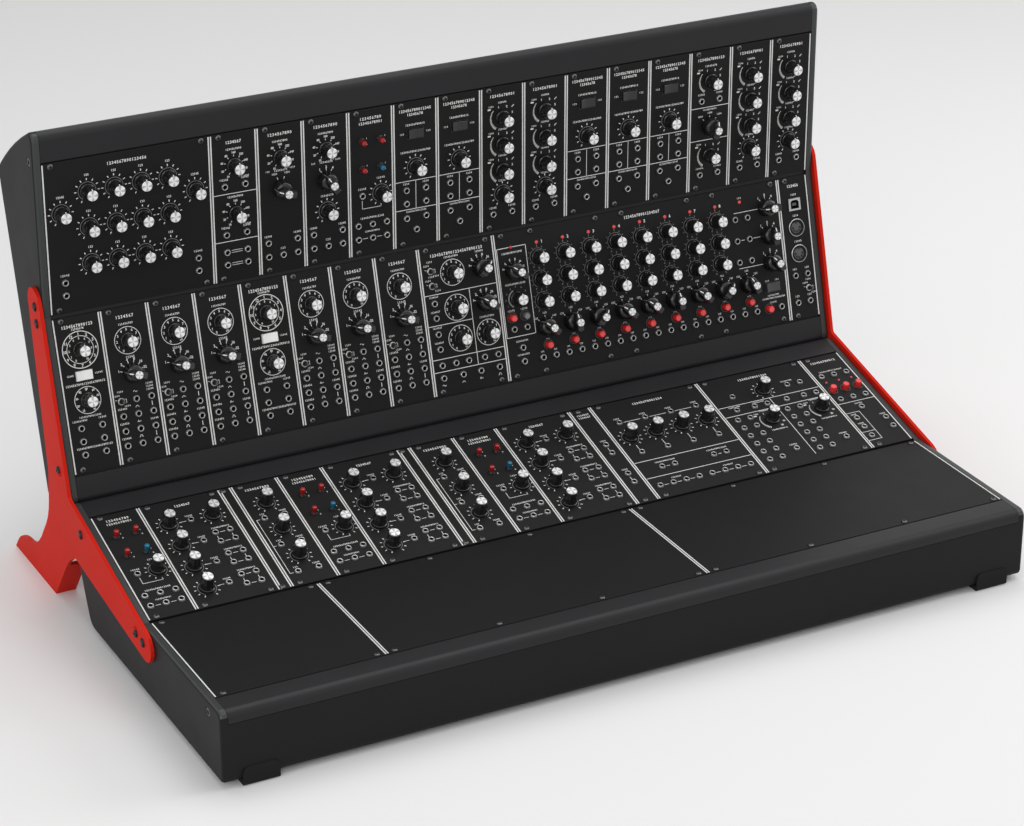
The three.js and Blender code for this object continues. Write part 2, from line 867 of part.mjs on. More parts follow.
function usbSocket(place) {
  const frame = block(
    at(-usbWidth / 2, -usbHeight / 2, -panelThick),
    at(usbWidth / 2, usbHeight / 2, usbRise),
  );
  const half = usbBoreWidth / 2;
  const up = usbBoreHeight / 2;
  const corner = usbBoreCorner;
  const hole = upright(outline([
    flat(-half, -up),
    flat(half, -up),
    flat(half, up - corner),
    flat(half - corner, up),
    flat(corner - half, up),
    flat(-half, up - corner),
  ]), -usbDepth, usbRise + overrun);
  const tongue = block(
    at(-usbTongueWidth / 2, -usbTongueHeight / 2, -usbDepth - tiny),
    at(usbTongueWidth / 2, usbTongueHeight / 2, 0),
  );
  const seat = new THREE.Matrix4().setPosition(place);
  return { frame: moved(frame, seat), hole: moved(hole, seat), tongue: moved(tongue, seat) };
}

function dinSocket(place) {
  const ring = turned([[0, -tiny], [dinRadius, -tiny], [dinRadius, dinRise], [0, dinRise]], 16);
  const recess = turned([[0, -dinRecess], [dinInner, -dinRecess], [dinInner, overrun], [0, overrun]], 16);
  const key = block(
    at(-dinKeyWidth / 2, dinInner - dinKeyWidth, -dinRecess - tiny),
    at(dinKeyWidth / 2, dinInner + tiny, 0),
  );
  const seat = new THREE.Matrix4().setPosition(place);
  return { ring: moved(ring, seat), recess: moved(recess, seat), key: moved(key, seat) };
}

// A whole module in its row's frame, centred across on zero
function moduleBody(kind, separate) {
  const { units, controls, empty } = moduleKinds[kind];
  let body = panelPlate(units);
  if (separate && !empty) body = body.add(moduleBlock(units));
  for (const control of controls) {
    const make = kinds[control.kind];
    const turn = turnOf(control);
    if (!(separate && control.node)) {
      body = body.add(moved(make.still(), turn));
      continue;
    }
    if (make.bush) {
      const bush = turned([[0, -tiny], [bushRadius, -tiny], [bushRadius, bushHeight], [0, bushHeight]], 10);
      const hole = turned([[0, -bushHeight], [bushHole, -bushHeight], [bushHole, overrun], [0, overrun]], 10);
      body = body.add(moved(bush, turn)).subtract(moved(hole, turn));
    } else {
      body = body.subtract(moved(make.cut(), turn));
    }
  }
  if (kind === 'digital_input') {
    const { usbShares, dinShares } = moduleKinds[kind];
    const usb = usbSocket(placeOf({ shares: usbShares }));
    body = body.add(usb.frame).subtract(usb.hole).add(usb.tongue);
    for (const shares of dinShares) {
      const din = dinSocket(placeOf({ shares }));
      body = body.add(din.ring).subtract(din.recess).add(din.key);
    }
  }
  return body;
}

// A strip that seats a panel on the rail it shares a piece with
function seatStrip(units, atTop) {
  const half = (units * hp) / 2 - panelSideGap;
  const edge = railScrewLine + railSlot / 2 + seatMargin;
  const far = railWidth - seatMargin;
  const side = half - seatMargin;
  return block(
    at(-side, atTop ? panelHeight - far : edge, landDrop - tiny),
    at(side, atTop ? panelHeight - edge : far, -panelThick + tiny),
  );
}

// One row: separate modules become meshes in the row's group, and the rest joins its rail
function fillRow(row, group, seen, atTop) {
  const shared = [];
  let left = -rowWidth / 2;
  for (const kind of row.modules) {
    const { units, controls } = moduleKinds[kind];
    const x = left + (units * hp) / 2;
    left += units * hp;
    const separate = !seen.has(kind);
    seen.add(kind);
    const body = moduleBody(kind, separate);
    if (!separate) {
      shared.push(moved(body.add(seatStrip(units, atTop)), new THREE.Matrix4().makeTranslation(x, 0, 0)));
      continue;
    }
    addMesh(`${kind}_module`, body, panelBlack, group, at(x, 0, 0));
    for (const control of controls.filter((each) => each.node)) {
      const make = kinds[control.kind];
      const place = placeOf(control).add(at(x, 0, 0));
      const turn = new THREE.Matrix4().makeRotationZ(rad(control.turnDeg || 0));
      addMesh(control.node, moved(make.moving(), turn), control.material || make.material, group, place);
    }
  }
  return shared;
}

function supplyBoard() {
  const floor = baseT + shellWall + seatGap;
  const y = panelHeight;
  const boardLow = floor + supplyPostHeight;
  const half = supplyLength / 2;
  const across = supplyWidth / 2;
  const bodies = [block(at(-half, y - across, boardLow), at(half, y + across, boardLow + supplyThick))];
  for (const sx of [-1, 0, 1]) {
    for (const sy of [-1, 1]) {
      const post = turned([
        [0, floor],
        [supplyPostRadius, floor],
        [supplyPostRadius, boardLow + tiny],
        [0, boardLow + tiny],
      ], 6);
      const x = sx * (half - supplyPostHeight);
      const place = at(x, y + sy * (across - supplyPostHeight), 0);
      bodies.push(moved(post, new THREE.Matrix4().setPosition(place)));
    }
  }
  const top = boardLow + supplyThick;
  for (let i = 0; i < supplyHeaderCount; i += 1) {
    const x = (i - (supplyHeaderCount - 1) / 2) * supplyHeaderPitch;
    bodies.push(block(
      at(x - supplyHeaderLength / 2, y - supplyHeaderWidth / 2, top - tiny),
      at(x + supplyHeaderLength / 2, y + supplyHeaderWidth / 2, top + supplyHeaderHeight),
    ));
  }
  return joined(bodies);
}

// The upper case in the stand's side plane, whose origin is the lower edge of the upper case's panels
const standDir = (deg) => flat(Math.cos(rad(deg)), Math.sin(rad(deg)));
const turnedFrontArc = frontArc.clone().rotateAround(flat(0, 0), rad(standDeg));
const upperInLower = rearArc.clone()
  .add(standDir(touchDeg).multiplyScalar(2 * lipRadius + caseGap))
  .sub(turnedFrontArc);
const lowerOrigin = upperInLower.clone().negate();
const upperRow = rowFrame(flat(0, 0), standDeg);
const lowerRow = rowFrame(creaseStart.clone().add(lowerOrigin), slopeDeg);
const floorZ = lowerOrigin.y + baseT - footLift;

// Places along the brackets' foot. Across, the shares are of the panel's height behind the upper case's
// corner, and below it they are of the height at which that corner stands.
const footFrontShare = 0.3;
const footRearShare = 1.07;
const footRearShares = [
  [0.982, -0.897], [0.9, -0.819], [0.733, -0.808], [0.62, -0.79],
  [0.517, -0.668], [0.395, -0.505], [0.315, -0.387], [0.31, -0.228],
];
const archShares = [[-0.13, -0.523], [-0.02, -0.58], [0.053, -0.672]];
const share = ([across, up]) => flat(across * panelHeight, up * -floorZ);

const bracketScrews = [
  upperRow.at(panelHeight + armEndRun - railScrewLine, -bracketScrewDepth),
  upperRow.at(panelHeight - railScrewLine, -bracketScrewDepth),
  upperRow.at(railScrewLine, -bracketScrewDepth),
  lowerRow.at(panelHeight - 2 * railScrewLine, -bracketScrewDepth),
  lowerRow.at(railScrewLine, -bracketScrewDepth),
  lowerRow.at(railScrewLine - armEndRun, -bracketScrewDepth),
];

function bracketOutline() {
  const rearPoints = footRearShares.map(share);
  const arch = archShares.map(share);
  const endDepth = bracketProud - armEndRadius;
  const topArc = upperRow.at(panelHeight + armEndRun, endDepth);
  const lowArc = lowerRow.at(-lowArmEndRun, endDepth);
  const shape = new THREE.Shape();
  shape.moveTo(footFrontShare * panelHeight, floorZ);
  shape.lineTo(footRearShare * panelHeight, floorZ);
  shape.lineTo(rearPoints[0].x, rearPoints[0].y);
  shape.quadraticCurveTo(rearPoints[1].x, rearPoints[1].y, rearPoints[2].x, rearPoints[2].y);
  shape.quadraticCurveTo(rearPoints[3].x, rearPoints[3].y, rearPoints[4].x, rearPoints[4].y);
  shape.lineTo(rearPoints[5].x, rearPoints[5].y);
  shape.quadraticCurveTo(rearPoints[6].x, rearPoints[6].y, rearPoints[7].x, rearPoints[7].y);
  const root = upperRow.at(0, bracketProud - armRoot);
  for (const p of [root, ...arcPoints(topArc, armEndRadius, standDeg - 90, standDeg + 90, 8)]) {
    shape.lineTo(p.x, p.y);
  }
  const bend = Math.tan(rad((standDeg - slopeDeg) / 2)) * bracketProud;
  const corner = upperRow.at(0, bracketProud);
  const inner = lowerRow.at(panelHeight, bracketProud);
  const turn = crossing(corner, standDeg, inner, slopeDeg);
  const before = flat(turn.x + bend * Math.cos(rad(standDeg)), turn.y + bend * Math.sin(rad(standDeg)));
  const after = flat(turn.x - bend * Math.cos(rad(slopeDeg)), turn.y - bend * Math.sin(rad(slopeDeg)));
  shape.lineTo(before.x, before.y);
  shape.quadraticCurveTo(turn.x, turn.y, after.x, after.y);
  for (const p of arcPoints(lowArc, armEndRadius, slopeDeg + 90, slopeDeg + 270, 8)) {
    shape.lineTo(p.x, p.y);
  }
  shape.lineTo(arch[0].x, arch[0].y);
  shape.quadraticCurveTo(arch[1].x, arch[1].y, arch[2].x, arch[2].y);
  return shape;
}

// Where two lines cross, each through a point in a direction
function crossing(p, pDeg, q, qDeg) {
  const d = standDir(pDeg);
  const e = standDir(qDeg);
  const t = ((q.x - p.x) * e.y - (q.y - p.y) * e.x) / (d.x * e.y - d.y * e.x);
  return flat(p.x + d.x * t, p.y + d.y * t);
}

function bracket() {
  const inside = outerHalf + seatGap;
  const outside = inside + bracketThick;
  let body = alongX(bracketOutline(), inside, outside, 0, 4);
  const low = flat(footFrontShare * panelHeight, floorZ);
  const high = share(archShares[2]);
  const run = high.clone().sub(low);
  const back = flat(-run.y, run.x).normalize().multiplyScalar(-bracketThick);
  const plate = outline([low, high, high.clone().add(back), low.clone().add(back)]);
  const depth = flangeWidth - bracketThick;
  const flange = alongX(plate, inside - depth, inside + tiny);
  body = body.add(flange);
  const sidewise = new THREE.Matrix4().makeRotationY(rad(90));
  for (const place of bracketScrews) {
    const screw = turned([
      [0, -bracketThick - seatGap - sideThick / 2],
      [bracketShankRadius, -bracketThick - seatGap - sideThick / 2],
      [bracketShankRadius, -tiny],
      [bracketScrewRadius, -tiny],
      [bracketScrewRadius, bracketScrewRise / 2],
      [bracketScrewRadius / 2, bracketScrewRise],
      [0, bracketScrewRise],
    ], 8);
    const seat = sidewise.clone().setPosition(at(outside, place.x, place.y));
    body = body.add(moved(screw, seat));
  }
  return body;
}

// Blind holes in a case's sides for the brackets' screws; the places are in the case's own frame
function screwHoles(tray, places) {
  const hole = turned([
    [0, -sideThick / 2 - shankClear],
    [bracketShankRadius + shankClear, -sideThick / 2 - shankClear],
    [bracketShankRadius + shankClear, overrun],
    [0, overrun],
  ], 6);
  return places.reduce((body, place) => body.subtract(onSides(hole, place)), tray);
}

function rubberFoot(atFront) {
  const half = footWidth / 2;
  const sole = baseT - footLift;
  const seat = baseT - seatGap;
  if (atFront) {
    const face = -lipReach - footProud;
    const wall = -lipReach - seatGap;
    const climb = baseT + footClimb;
    const facing = upright(outline([
      flat(-half, sole - overrun),
      flat(half, sole - overrun),
      ...arcPoints(flat(half - footCorner, climb - footCorner), footCorner, 0, 90, 3),
      ...arcPoints(flat(footCorner - half, climb - footCorner), footCorner, 90, 180, 3),
    ]), -face - footLength - overrun, overrun - face);
    const side = alongX(outline([
      flat(face + footRound / 2, sole),
      flat(face + footLength, sole),
      flat(face + footLength, seat),
      flat(wall, seat),
      flat(wall, climb),
      flat(face + footProud / 3, climb - footRound / 2),
      flat(face, climb - footRound),
      flat(face, sole + footRound / 2),
    ]), -half, half);
    return side.intersect(moved(facing, new THREE.Matrix4().makeRotationX(rad(90))));
  }
  const rear = rearBaseArc.x;
  return alongX(outline([
    flat(rear - footLength, sole + footRound / 2),
    flat(rear - footLength + footRound / 2, sole),
    flat(rear - footRound / 2, sole),
    flat(rear, sole + footRound / 2),
    flat(rear, seat),
    flat(rear - footLength, seat),
  ]), -half, half);
}

// The scene graph: stand, cases and rows
const synthesizer = new THREE.Group();
const bracketRear = footRearShare * panelHeight;
const footFront = lowerOrigin.x - lipReach - footProud;
const stand = new THREE.Group();
stand.position.set(0, -(bracketRear + footFront) / 2, -floorZ);
synthesizer.add(stand);

const cases = { lower: new THREE.Group(), upper: new THREE.Group() };
cases.lower.position.set(0, lowerOrigin.x, lowerOrigin.y);
cases.upper.rotation.x = rad(standDeg);
const caseScrews = {
  lower: bracketScrews.slice(3).map((p) => p.clone().sub(lowerOrigin)),
  upper: bracketScrews.slice(0, 3).map((p) => p.clone().rotateAround(flat(0, 0), -rad(standDeg))),
};
const seen = new Set();
for (const which of ['lower', 'upper']) {
  const group = cases[which];
  stand.add(group);
  addMesh(`${which}_case_tray`, screwHoles(caseTray(), caseScrews[which]), shellBlack, group);
  addMesh(`${which}_middle_rail`, middleRail(), railBlack, group);
  addMesh(`${which}_supply_board`, supplyBoard(), boardGreen, group);
  const slope = new THREE.Group();
  slope.position.set(0, creaseStart.x, creaseStart.y);
  slope.rotation.x = rad(slopeDeg);
  slope.updateMatrix();
  group.add(slope);
  const front = rows.find((row) => row.name === `${which}_front`);
  const rear = rows.find((row) => row.name === `${which}_rear`);
  const frontShared = fillRow(front, group, seen, false);
  const rearShared = fillRow(rear, slope, seen, true).map((body) => moved(body, slope.matrix));
  addMesh(`${which}_front_rail`, joined([frontRail(), ...frontShared]), railBlack, group);
  addMesh(`${which}_rear_rail`, joined([rearRail(), ...rearShared]), railBlack, group);
}

addMesh('right_bracket', bracket(), bracketRed, stand);
addMesh('left_bracket', moved(bracket(), new THREE.Matrix4().makeScale(-1, 1, 1)), bracketRed, stand);

for (const [side, sign] of [['left', -1], ['right', 1]]) {
  const x = sign * (outerHalf - footInset);
  addMesh(`${side}_front_foot`, rubberFoot(true), rubberBlack, cases.lower, at(x, 0, 0));
  addMesh(`${side}_rear_foot`, rubberFoot(false), rubberBlack, cases.lower, at(x, 0, 0));
}

export default synthesizer;
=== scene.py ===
"""Looks of the modular synthesizer: two black cases on red brackets, filled with four rows of modules."""

import copy
import json
import math

import bmesh
import bpy
from mathutils import Matrix, Vector
from mathutils.geometry import tessellate_polygon


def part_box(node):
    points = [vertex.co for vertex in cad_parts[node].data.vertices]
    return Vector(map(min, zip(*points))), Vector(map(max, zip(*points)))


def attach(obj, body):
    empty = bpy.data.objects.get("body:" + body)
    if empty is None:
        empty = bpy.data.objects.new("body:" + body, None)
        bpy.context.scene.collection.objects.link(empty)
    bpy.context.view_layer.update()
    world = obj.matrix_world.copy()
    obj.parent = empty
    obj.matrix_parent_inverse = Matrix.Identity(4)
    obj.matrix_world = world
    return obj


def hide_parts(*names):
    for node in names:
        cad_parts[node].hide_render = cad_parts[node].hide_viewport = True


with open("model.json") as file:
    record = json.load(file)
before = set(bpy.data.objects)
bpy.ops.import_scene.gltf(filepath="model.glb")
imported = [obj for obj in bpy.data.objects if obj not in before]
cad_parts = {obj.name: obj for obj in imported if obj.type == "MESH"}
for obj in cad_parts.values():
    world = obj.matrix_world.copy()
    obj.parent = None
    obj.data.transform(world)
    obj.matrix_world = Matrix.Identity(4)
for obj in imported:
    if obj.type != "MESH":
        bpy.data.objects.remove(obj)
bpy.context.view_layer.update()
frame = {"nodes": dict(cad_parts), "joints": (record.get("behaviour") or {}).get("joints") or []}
NODES = frame["nodes"]

# The panel grid, in millimetres
HP = 5.08
PANEL_HEIGHT = 128.5
PANEL_THICK = 2.0
SIDE_GAP = 0.17
ROW_WIDTH = 140 * HP
CREASE_GAP = 3.4
SLOPE = math.radians(15)
STAND = math.radians(75)
LOWER_ORIGIN = (-197.833, 65.0)
UPPER_ORIGIN = (87.838, 123.974)


# Materials

# A noise texture's values hardly go beyond these
NOISE_LOW, NOISE_HIGH = 0.3, 0.7


def srgb(red, green, blue):
    """A colour as linear values, from the three numbers that a picture shows."""
    def linear(value):
        value /= 255
        return value / 12.92 if value <= 0.04045 else ((value + 0.055) / 1.055) ** 2.4
    return (linear(red), linear(green), linear(blue), 1.0)


class Nodes:
    """The node tree of a new material or world, with short calls to add to it."""

    def __init__(self, name, kind=bpy.data.materials, shader="Principled BSDF"):
        self.block = kind.new(name)
        self.block.use_nodes = True
        self.tree = self.block.node_tree
        self.shader = self.tree.nodes[shader]

    def add(self, kind, inputs=None, **settings):
        node = self.tree.nodes.new(kind)
        for key, value in settings.items():
            setattr(node, key, value)
        for key, value in (inputs or {}).items():
            self.feed(node.inputs[key], value)
        return node

    def feed(self, socket, value):
        if isinstance(value, bpy.types.NodeSocket):
            self.tree.links.new(value, socket)
        else:
            socket.default_value = value

    def set(self, **values):
        for key, value in values.items():
            self.feed(self.shader.inputs[key.replace("_", " ")], value)

    def noise(self, scale, detail):
        place = self.add("ShaderNodeTexCoord").outputs["Object"]
        node = self.add("ShaderNodeTexNoise", {"Vector": place, "Scale": scale, "Detail": detail})
        return node.outputs["Fac"]

    def span(self, value, low, high, start=NOISE_LOW, end=NOISE_HIGH):
        """Maps a noise's value to a range of numbers."""
        node = self.add("ShaderNodeMapRange", {
            "Value": value, "From Min": start, "From Max": end, "To Min": low, "To Max": high,
        })
        return node.outputs["Result"]

    def blend(self, value, first, second):
        """Maps a noise's value to a range of colours."""
        node = self.add("ShaderNodeValToRGB", {"Fac": value})
        stops = node.color_ramp.elements
        stops[0].position, stops[0].color = NOISE_LOW, first
        stops[1].position, stops[1].color = NOISE_HIGH, second
        return node.outputs["Color"]

    def bump(self, value, strength, distance):
        node = self.add("ShaderNodeBump", {"Height": value, "Strength": strength, "Distance": distance})
        self.feed(self.shader.inputs["Normal"], node.outputs["Normal"])


def shade(colour, factor):
    return tuple(min(1.0, c * factor) for c in colour[:3]) + (1.0,)


def uneven(name, dark, light, tone, gloss, rough, grain=None, **values):
    """A surface whose colour and gloss vary with two noises, tone and gloss, each (scale, detail)."""
    nodes = Nodes(name)
    nodes.set(
        Base_Color=nodes.blend(nodes.noise(*tone), dark, light),
        Roughness=nodes.span(nodes.noise(*gloss), *rough),
        **values,
    )
    if grain:
        scale, detail, strength, depth = grain
        nodes.bump(nodes.noise(scale, detail), strength, depth)
    return nodes.block


def coated(name, colour, roughness, spread, grain, depth, specular=0.5):
    """Paint or powder coat: a fine orange-peel grain, with its colour and gloss a little uneven."""
    return uneven(name, shade(colour, 1 - spread), shade(colour, 1 + spread), (9, 4), (34, 5),
                  (roughness - 0.02, roughness + 0.03), (grain, 2, 0.35, depth), Specular_IOR_Level=specular)


def plastic(name, colour, roughness):
    return uneven(name, shade(colour, 0.92), shade(colour, 1.08), (60, 4), (420, 3),
                  (roughness - 0.05, roughness + 0.07), (1500, 3, 0.15, 0.00003))


def plated(name, colour, roughness):
    """Nickel or chrome plate, with faint handling marks."""
    return uneven(name, shade(colour, 0.92), shade(colour, 1.05), (300, 3), (900, 4),
                  (roughness - 0.06, roughness + 0.08), (2400, 2, 0.12, 0.00002), Metallic=1.0)


def ink(name, colour):
    """Screen print, its cover slightly uneven."""
    return uneven(name, shade(colour, 0.86), colour, (700, 4), (300, 3), (0.45, 0.6))


def turned_metal(name, colour):
    """Aluminium cut on a lathe: fine rings in its colour, with painted shade in four dark wedges round the
    centre, in place of the light and dark that turned rings throw.
    """
    nodes = Nodes(name)
    place = nodes.add("ShaderNodeSeparateXYZ", {
        "Vector": nodes.add("ShaderNodeUVMap", uv_map="turned").outputs["UV"],
    })
    rings = nodes.add("ShaderNodeTexNoise", {"W": place.outputs["Y"], "Scale": 900.0, "Detail": 3.0},
                      noise_dimensions="1D").outputs["Fac"]
    # Painted shade: four dark wedges round the cap's centre, from the angle about it
    angle = nodes.add("ShaderNodeMath", {0: place.outputs["X"], 1: 8 * math.pi}, operation="MULTIPLY")
    painted_wedge = nodes.add("ShaderNodeMath", {0: angle.outputs["Value"]}, operation="COSINE")
    painted_shade = nodes.span(painted_wedge.outputs["Value"], 0.0, 0.62, -0.2, 0.9)
    bright = nodes.blend(rings, shade(colour, 0.94), shade(colour, 1.04))
    mixed = nodes.add("ShaderNodeMix", {"Factor": painted_shade, 6: bright, 7: shade(colour, 0.24)},
                      data_type="RGBA")
    nodes.set(
        Base_Color=mixed.outputs[2],
        Roughness=nodes.span(rings, 0.3, 0.42),
        Metallic=0.55,
    )
    return nodes.block


def lamp(name, colour, strength):
    nodes = Nodes(name)
    nodes.set(Base_Color=colour, Roughness=0.2, Emission_Color=colour, Emission_Strength=strength)
    nodes.bump(nodes.noise(900, 2), 0.1, 0.00002)
    return nodes.block


PANEL = coated("panel_paint", srgb(26, 25, 26), 0.5, 0.05, 3200, 0.00003, 0.12)
SHELL = coated("shell_powder_coat", srgb(25, 25, 26), 0.5, 0.08, 2200, 0.00006, 0.14)
# A lighter copy of the shell's coat: painted highlight on the narrow faces of the side walls
SHELL_PAINTED_HIGHLIGHT = coated("shell_painted_highlight", srgb(54, 56, 56), 0.4, 0.08, 2200, 0.00004, 0.3)
LIP = coated("rail_anodised", srgb(33, 32, 34), 0.42, 0.06, 3600, 0.00002, 0.22)
BRACKET = coated("bracket_powder_coat", srgb(200, 34, 20), 0.5, 0.06, 2400, 0.00005, 0.05)
RUBBER = coated("foot_rubber", srgb(24, 24, 25), 0.85, 0.15, 1800, 0.00008, 0.2)
BOARD = coated("circuit_board", srgb(24, 66, 40), 0.45, 0.2, 900, 0.00004)
INK = ink("white_print", srgb(225, 225, 223))
FAINT_INK = ink("grey_print", srgb(136, 136, 136))
BLACK = plastic("knob_black", srgb(24, 24, 25), 0.24)
POINTER = plastic("pointer_white", srgb(228, 228, 224), 0.4)
# A grey line down the selector's nose, and a painted highlight on its tail
GREY_POINTER_AND_HIGHLIGHT = plastic("pointer_grey_and_painted_highlight", srgb(98, 98, 97), 0.45)
RED = plastic("button_red", srgb(216, 42, 42), 0.32)
PALE_RED = plastic("button_red_centre", srgb(232, 84, 82), 0.4)
PALE_GREY = plastic("button_grey_centre", srgb(122, 122, 124), 0.4)
LEVER_RED = plastic("lever_red", srgb(156, 22, 24), 0.32)
LEVER_BLUE = plastic("lever_blue", srgb(16, 96, 126), 0.32)
GREY = plastic("button_grey", srgb(88, 88, 90), 0.36)
DARK_GREY = plastic("rocker_grey", srgb(58, 58, 60), 0.34)
WHITE = plastic("rocker_white", srgb(238, 238, 236), 0.35)
SOCKET_DISC = plastic("socket_disc", srgb(74, 74, 75), 0.5)
# Near black: the black insides of sockets, and painted shade in holes, slots and the bottoms of wells
SOCKET_BLACK_AND_PAINTED_SHADE = plastic("socket_black_and_painted_shade", srgb(6, 6, 6), 0.7)
SILVER = plated("nickel", (0.46, 0.46, 0.46, 1), 0.32)
NUT = plated("nut_dull_nickel", (0.09, 0.09, 0.092, 1), 0.38)
SCREW = plated("black_screw", (0.1, 0.1, 0.103, 1), 0.36)
BUTTON_SCREW = plated("bracket_screw", (0.03, 0.03, 0.032, 1), 0.42)
CAP = turned_metal("turned_aluminium", (0.86, 0.86, 0.86, 1))
LED = lamp("led_red", srgb(206, 58, 56), 0.3)


# Mesh building

# Edges that bend by more than these degrees stay sharp, on drawn pieces and on CAD nodes
SMOOTH_BELOW = 32
NODE_SMOOTH_BELOW = 30
# Millimetres of radius to one unit of the turned metal's rings
TURNED_UNIT = 10
IDENTITY = Matrix()


def placed(x, y, z=0.0, turn=0.0):
    return Matrix.Translation((x, y, z)) @ Matrix.Rotation(math.radians(turn), 4, "Z")


def new_object(name, data, place=(0, 0, 0), looking=None):
    """Adds an object to the scene, its own minus Z along a direction if one is given."""
    thing = bpy.data.objects.new(name, data)
    thing.location = place
    if looking is not None:
        thing.rotation_mode = "QUATERNION"
        thing.rotation_quaternion = looking.to_track_quat("-Z", "Y")
    bpy.context.scene.collection.objects.link(thing)
    return thing


def smooth(mesh, degrees):
    mesh.shade_smooth()
    mesh.set_sharp_from_angle(angle=math.radians(degrees))


def oblong(x, y):
    return [(-x, -y), (x, -y), (x, y), (-x, y)]


def level(outline, z):
    return [(x, y, z) for x, y in outline]


def polar(radius, degrees):
    """A point at a radius, its angle clockwise from the top as on a dial."""
    angle = math.radians(90 - degrees)
    return radius * math.cos(angle), radius * math.sin(angle)


class Shape:
    """A mesh gathered from many forms, in millimetres, each drawn from the place that matrix gives."""

    def __init__(self, matrix=IDENTITY):
        self.matrix = matrix
        self.points = []
        self.faces = []
        self.slots = []
        self.coords = []
        self.materials = []

    def moved(self, matrix):
        """The same shape, drawn on from another place."""
        twin = copy.copy(self)
        twin.matrix = self.matrix @ matrix
        return twin

    def at(self, *place):
        return self.moved(placed(*place))

    def add(self, points, faces, material, coords=None):
        base = len(self.points)
        self.points.extend(self.matrix @ Vector(p) for p in points)
        if material not in self.materials:
            self.materials.append(material)
        slot = self.materials.index(material)
        for i, face in enumerate(faces):
            self.faces.append([base + k for k in face])
            self.slots.append(slot)
            self.coords.append(coords[i] if coords else [(0.5, 0.5)] * len(face))

    def lathe(self, profile, sides, material, flutes=None):
        """A body turned round Z from (radius, height) pairs. flutes gives each ring's groove depth."""
        points, rings = [], []
        for i, (radius, height) in enumerate(profile):
            ring = []
            for k in range(1 if radius == 0 else sides):
                angle = 2 * math.pi * k / sides
                reach = radius - (flutes[i] if flutes and k % 2 else 0)
                ring.append(len(points))
                points.append((reach * math.sin(angle), reach * math.cos(angle), height))
            rings.append((ring, radius / TURNED_UNIT))
        faces, coords = [], []
        for (low, v0), (high, v1) in zip(rings, rings[1:]):
            for k in range(sides):
                n = (k + 1) % sides
                u0, middle, u1 = k / sides, (k + 0.5) / sides, (k + 1) / sides
                top = [(high[k], u0, v1), (high[n], u1, v1)] if len(high) > 1 else [(high[0], middle, v1)]
                base = [(low[n], u1, v0), (low[k], u0, v0)] if len(low) > 1 else [(low[0], middle, v0)]
                faces.append([corner[0] for corner in top + base])
                coords.append([corner[1:] for corner in top + base])
        self.add(points, faces, material, coords if material is CAP else None)

    def loft(self, sections, material, close=True):
        """Skins between outlines of equal counts, from the bottom up, each anticlockwise."""
        count = len(sections[0])
        points = [p for section in sections for p in section]
        faces = []
        for base in range(0, len(points) - count, count):
            for k in range(count):
                n = (k + 1) % count
                faces.append([base + k, base + n, base + count + n, base + count + k])
        if close:
            faces.append(list(range(count))[::-1])
            faces.append(list(range(len(points) - count, len(points))))
        self.add(points, faces, material)

    def bar(self, low, high, material, ease=0.0):
        """A block between two corners, its upper edges eased."""
        (x0, y0, z0), (x1, y1, z1) = low, high

        def ring(inset, z):
            return [(x0 + inset, y0 + inset, z), (x1 - inset, y0 + inset, z),
                    (x1 - inset, y1 - inset, z), (x0 + inset, y1 - inset, z)]
        sections = [ring(0, z0), ring(0, z1 - ease), ring(ease, z1)] if ease else [ring(0, z0), ring(0, z1)]
        self.loft(sections, material)

    def flat(self, outline, holes, height, material, up=True):
        """A flat face with openings, turned up or down."""
        loops = [[Vector((x, y, 0)) for x, y in loop] for loop in [outline] + holes]
        points = [p for loop in loops for p in loop]
        faces = []
        for tri in tessellate_polygon(loops):
            a, b, c = (points[k] for k in tri)
            faces.append(list(tri) if ((b - a).cross(c - a).z > 0) == up else list(tri)[::-1])
        self.add([(p.x, p.y, height) for p in points], faces, material)

    def stroke(self, points, width, material=INK):
        """A printed line through points."""
        for (x0, y0), (x1, y1) in zip(points, points[1:]):
            scale = width / 2 / math.hypot(x1 - x0, y1 - y0)
            dx, dy = (x1 - x0) * scale, (y1 - y0) * scale
            corners = [(x0 - dx - dy, y0 - dy + dx), (x0 - dx + dy, y0 - dy - dx),
                       (x1 + dx + dy, y1 + dy - dx), (x1 + dx - dy, y1 + dy + dx)]
            self.add(level(corners, PRINT_RISE), [[0, 1, 2, 3]], material)

    def ring(self, radius, width, material=INK, start=0, end=360):
        """A printed ring, or the part of it between two angles of a dial."""
        steps = max(8, int(abs(end - start) / 7.5))
        points = []
        for i in range(steps + 1):
            angle = start + (end - start) * i / steps
            points += [polar(radius - width / 2, angle), polar(radius + width / 2, angle)]
        faces = [[2 * i, 2 * i + 1, 2 * i + 3, 2 * i + 2] for i in range(steps)]
        faces = [face if start < end else face[::-1] for face in faces]
        self.add(level(points, PRINT_RISE), faces, material)

    def ticks(self, angles, inner, outer, width, material=INK):
        for angle in angles:
            self.stroke([polar(inner, angle), polar(outer, angle)], width, material)

    def numeral(self, number, x, y, height, material=INK):
        """A plain number, centred on its place."""
        text = str(number)
        for i, letter in enumerate(text):
            points, faces = digit_outline(letter)
            left = x + (i - (len(text) - 1) / 2) * height * DIGIT_STEP
            corners = [(left + px * height, y + py * height) for px, py in points]
            self.add(level(corners, PRINT_RISE), faces, material)

    def around(self, radius, numbers, angles, height, material=INK):
        for number, angle in zip(numbers, angles):
            self.numeral(number, *polar(radius, angle), height, material)

    def number_row(self, x, y, width, height):
        """Where the object has a word, a row of plain numbers stands in."""
        count = max(1, round(width / (height * ROW_STEP)))
        for i in range(count):
            self.numeral((i + 1) % 10, x + (i - (count - 1) / 2) * width / count, y, height)

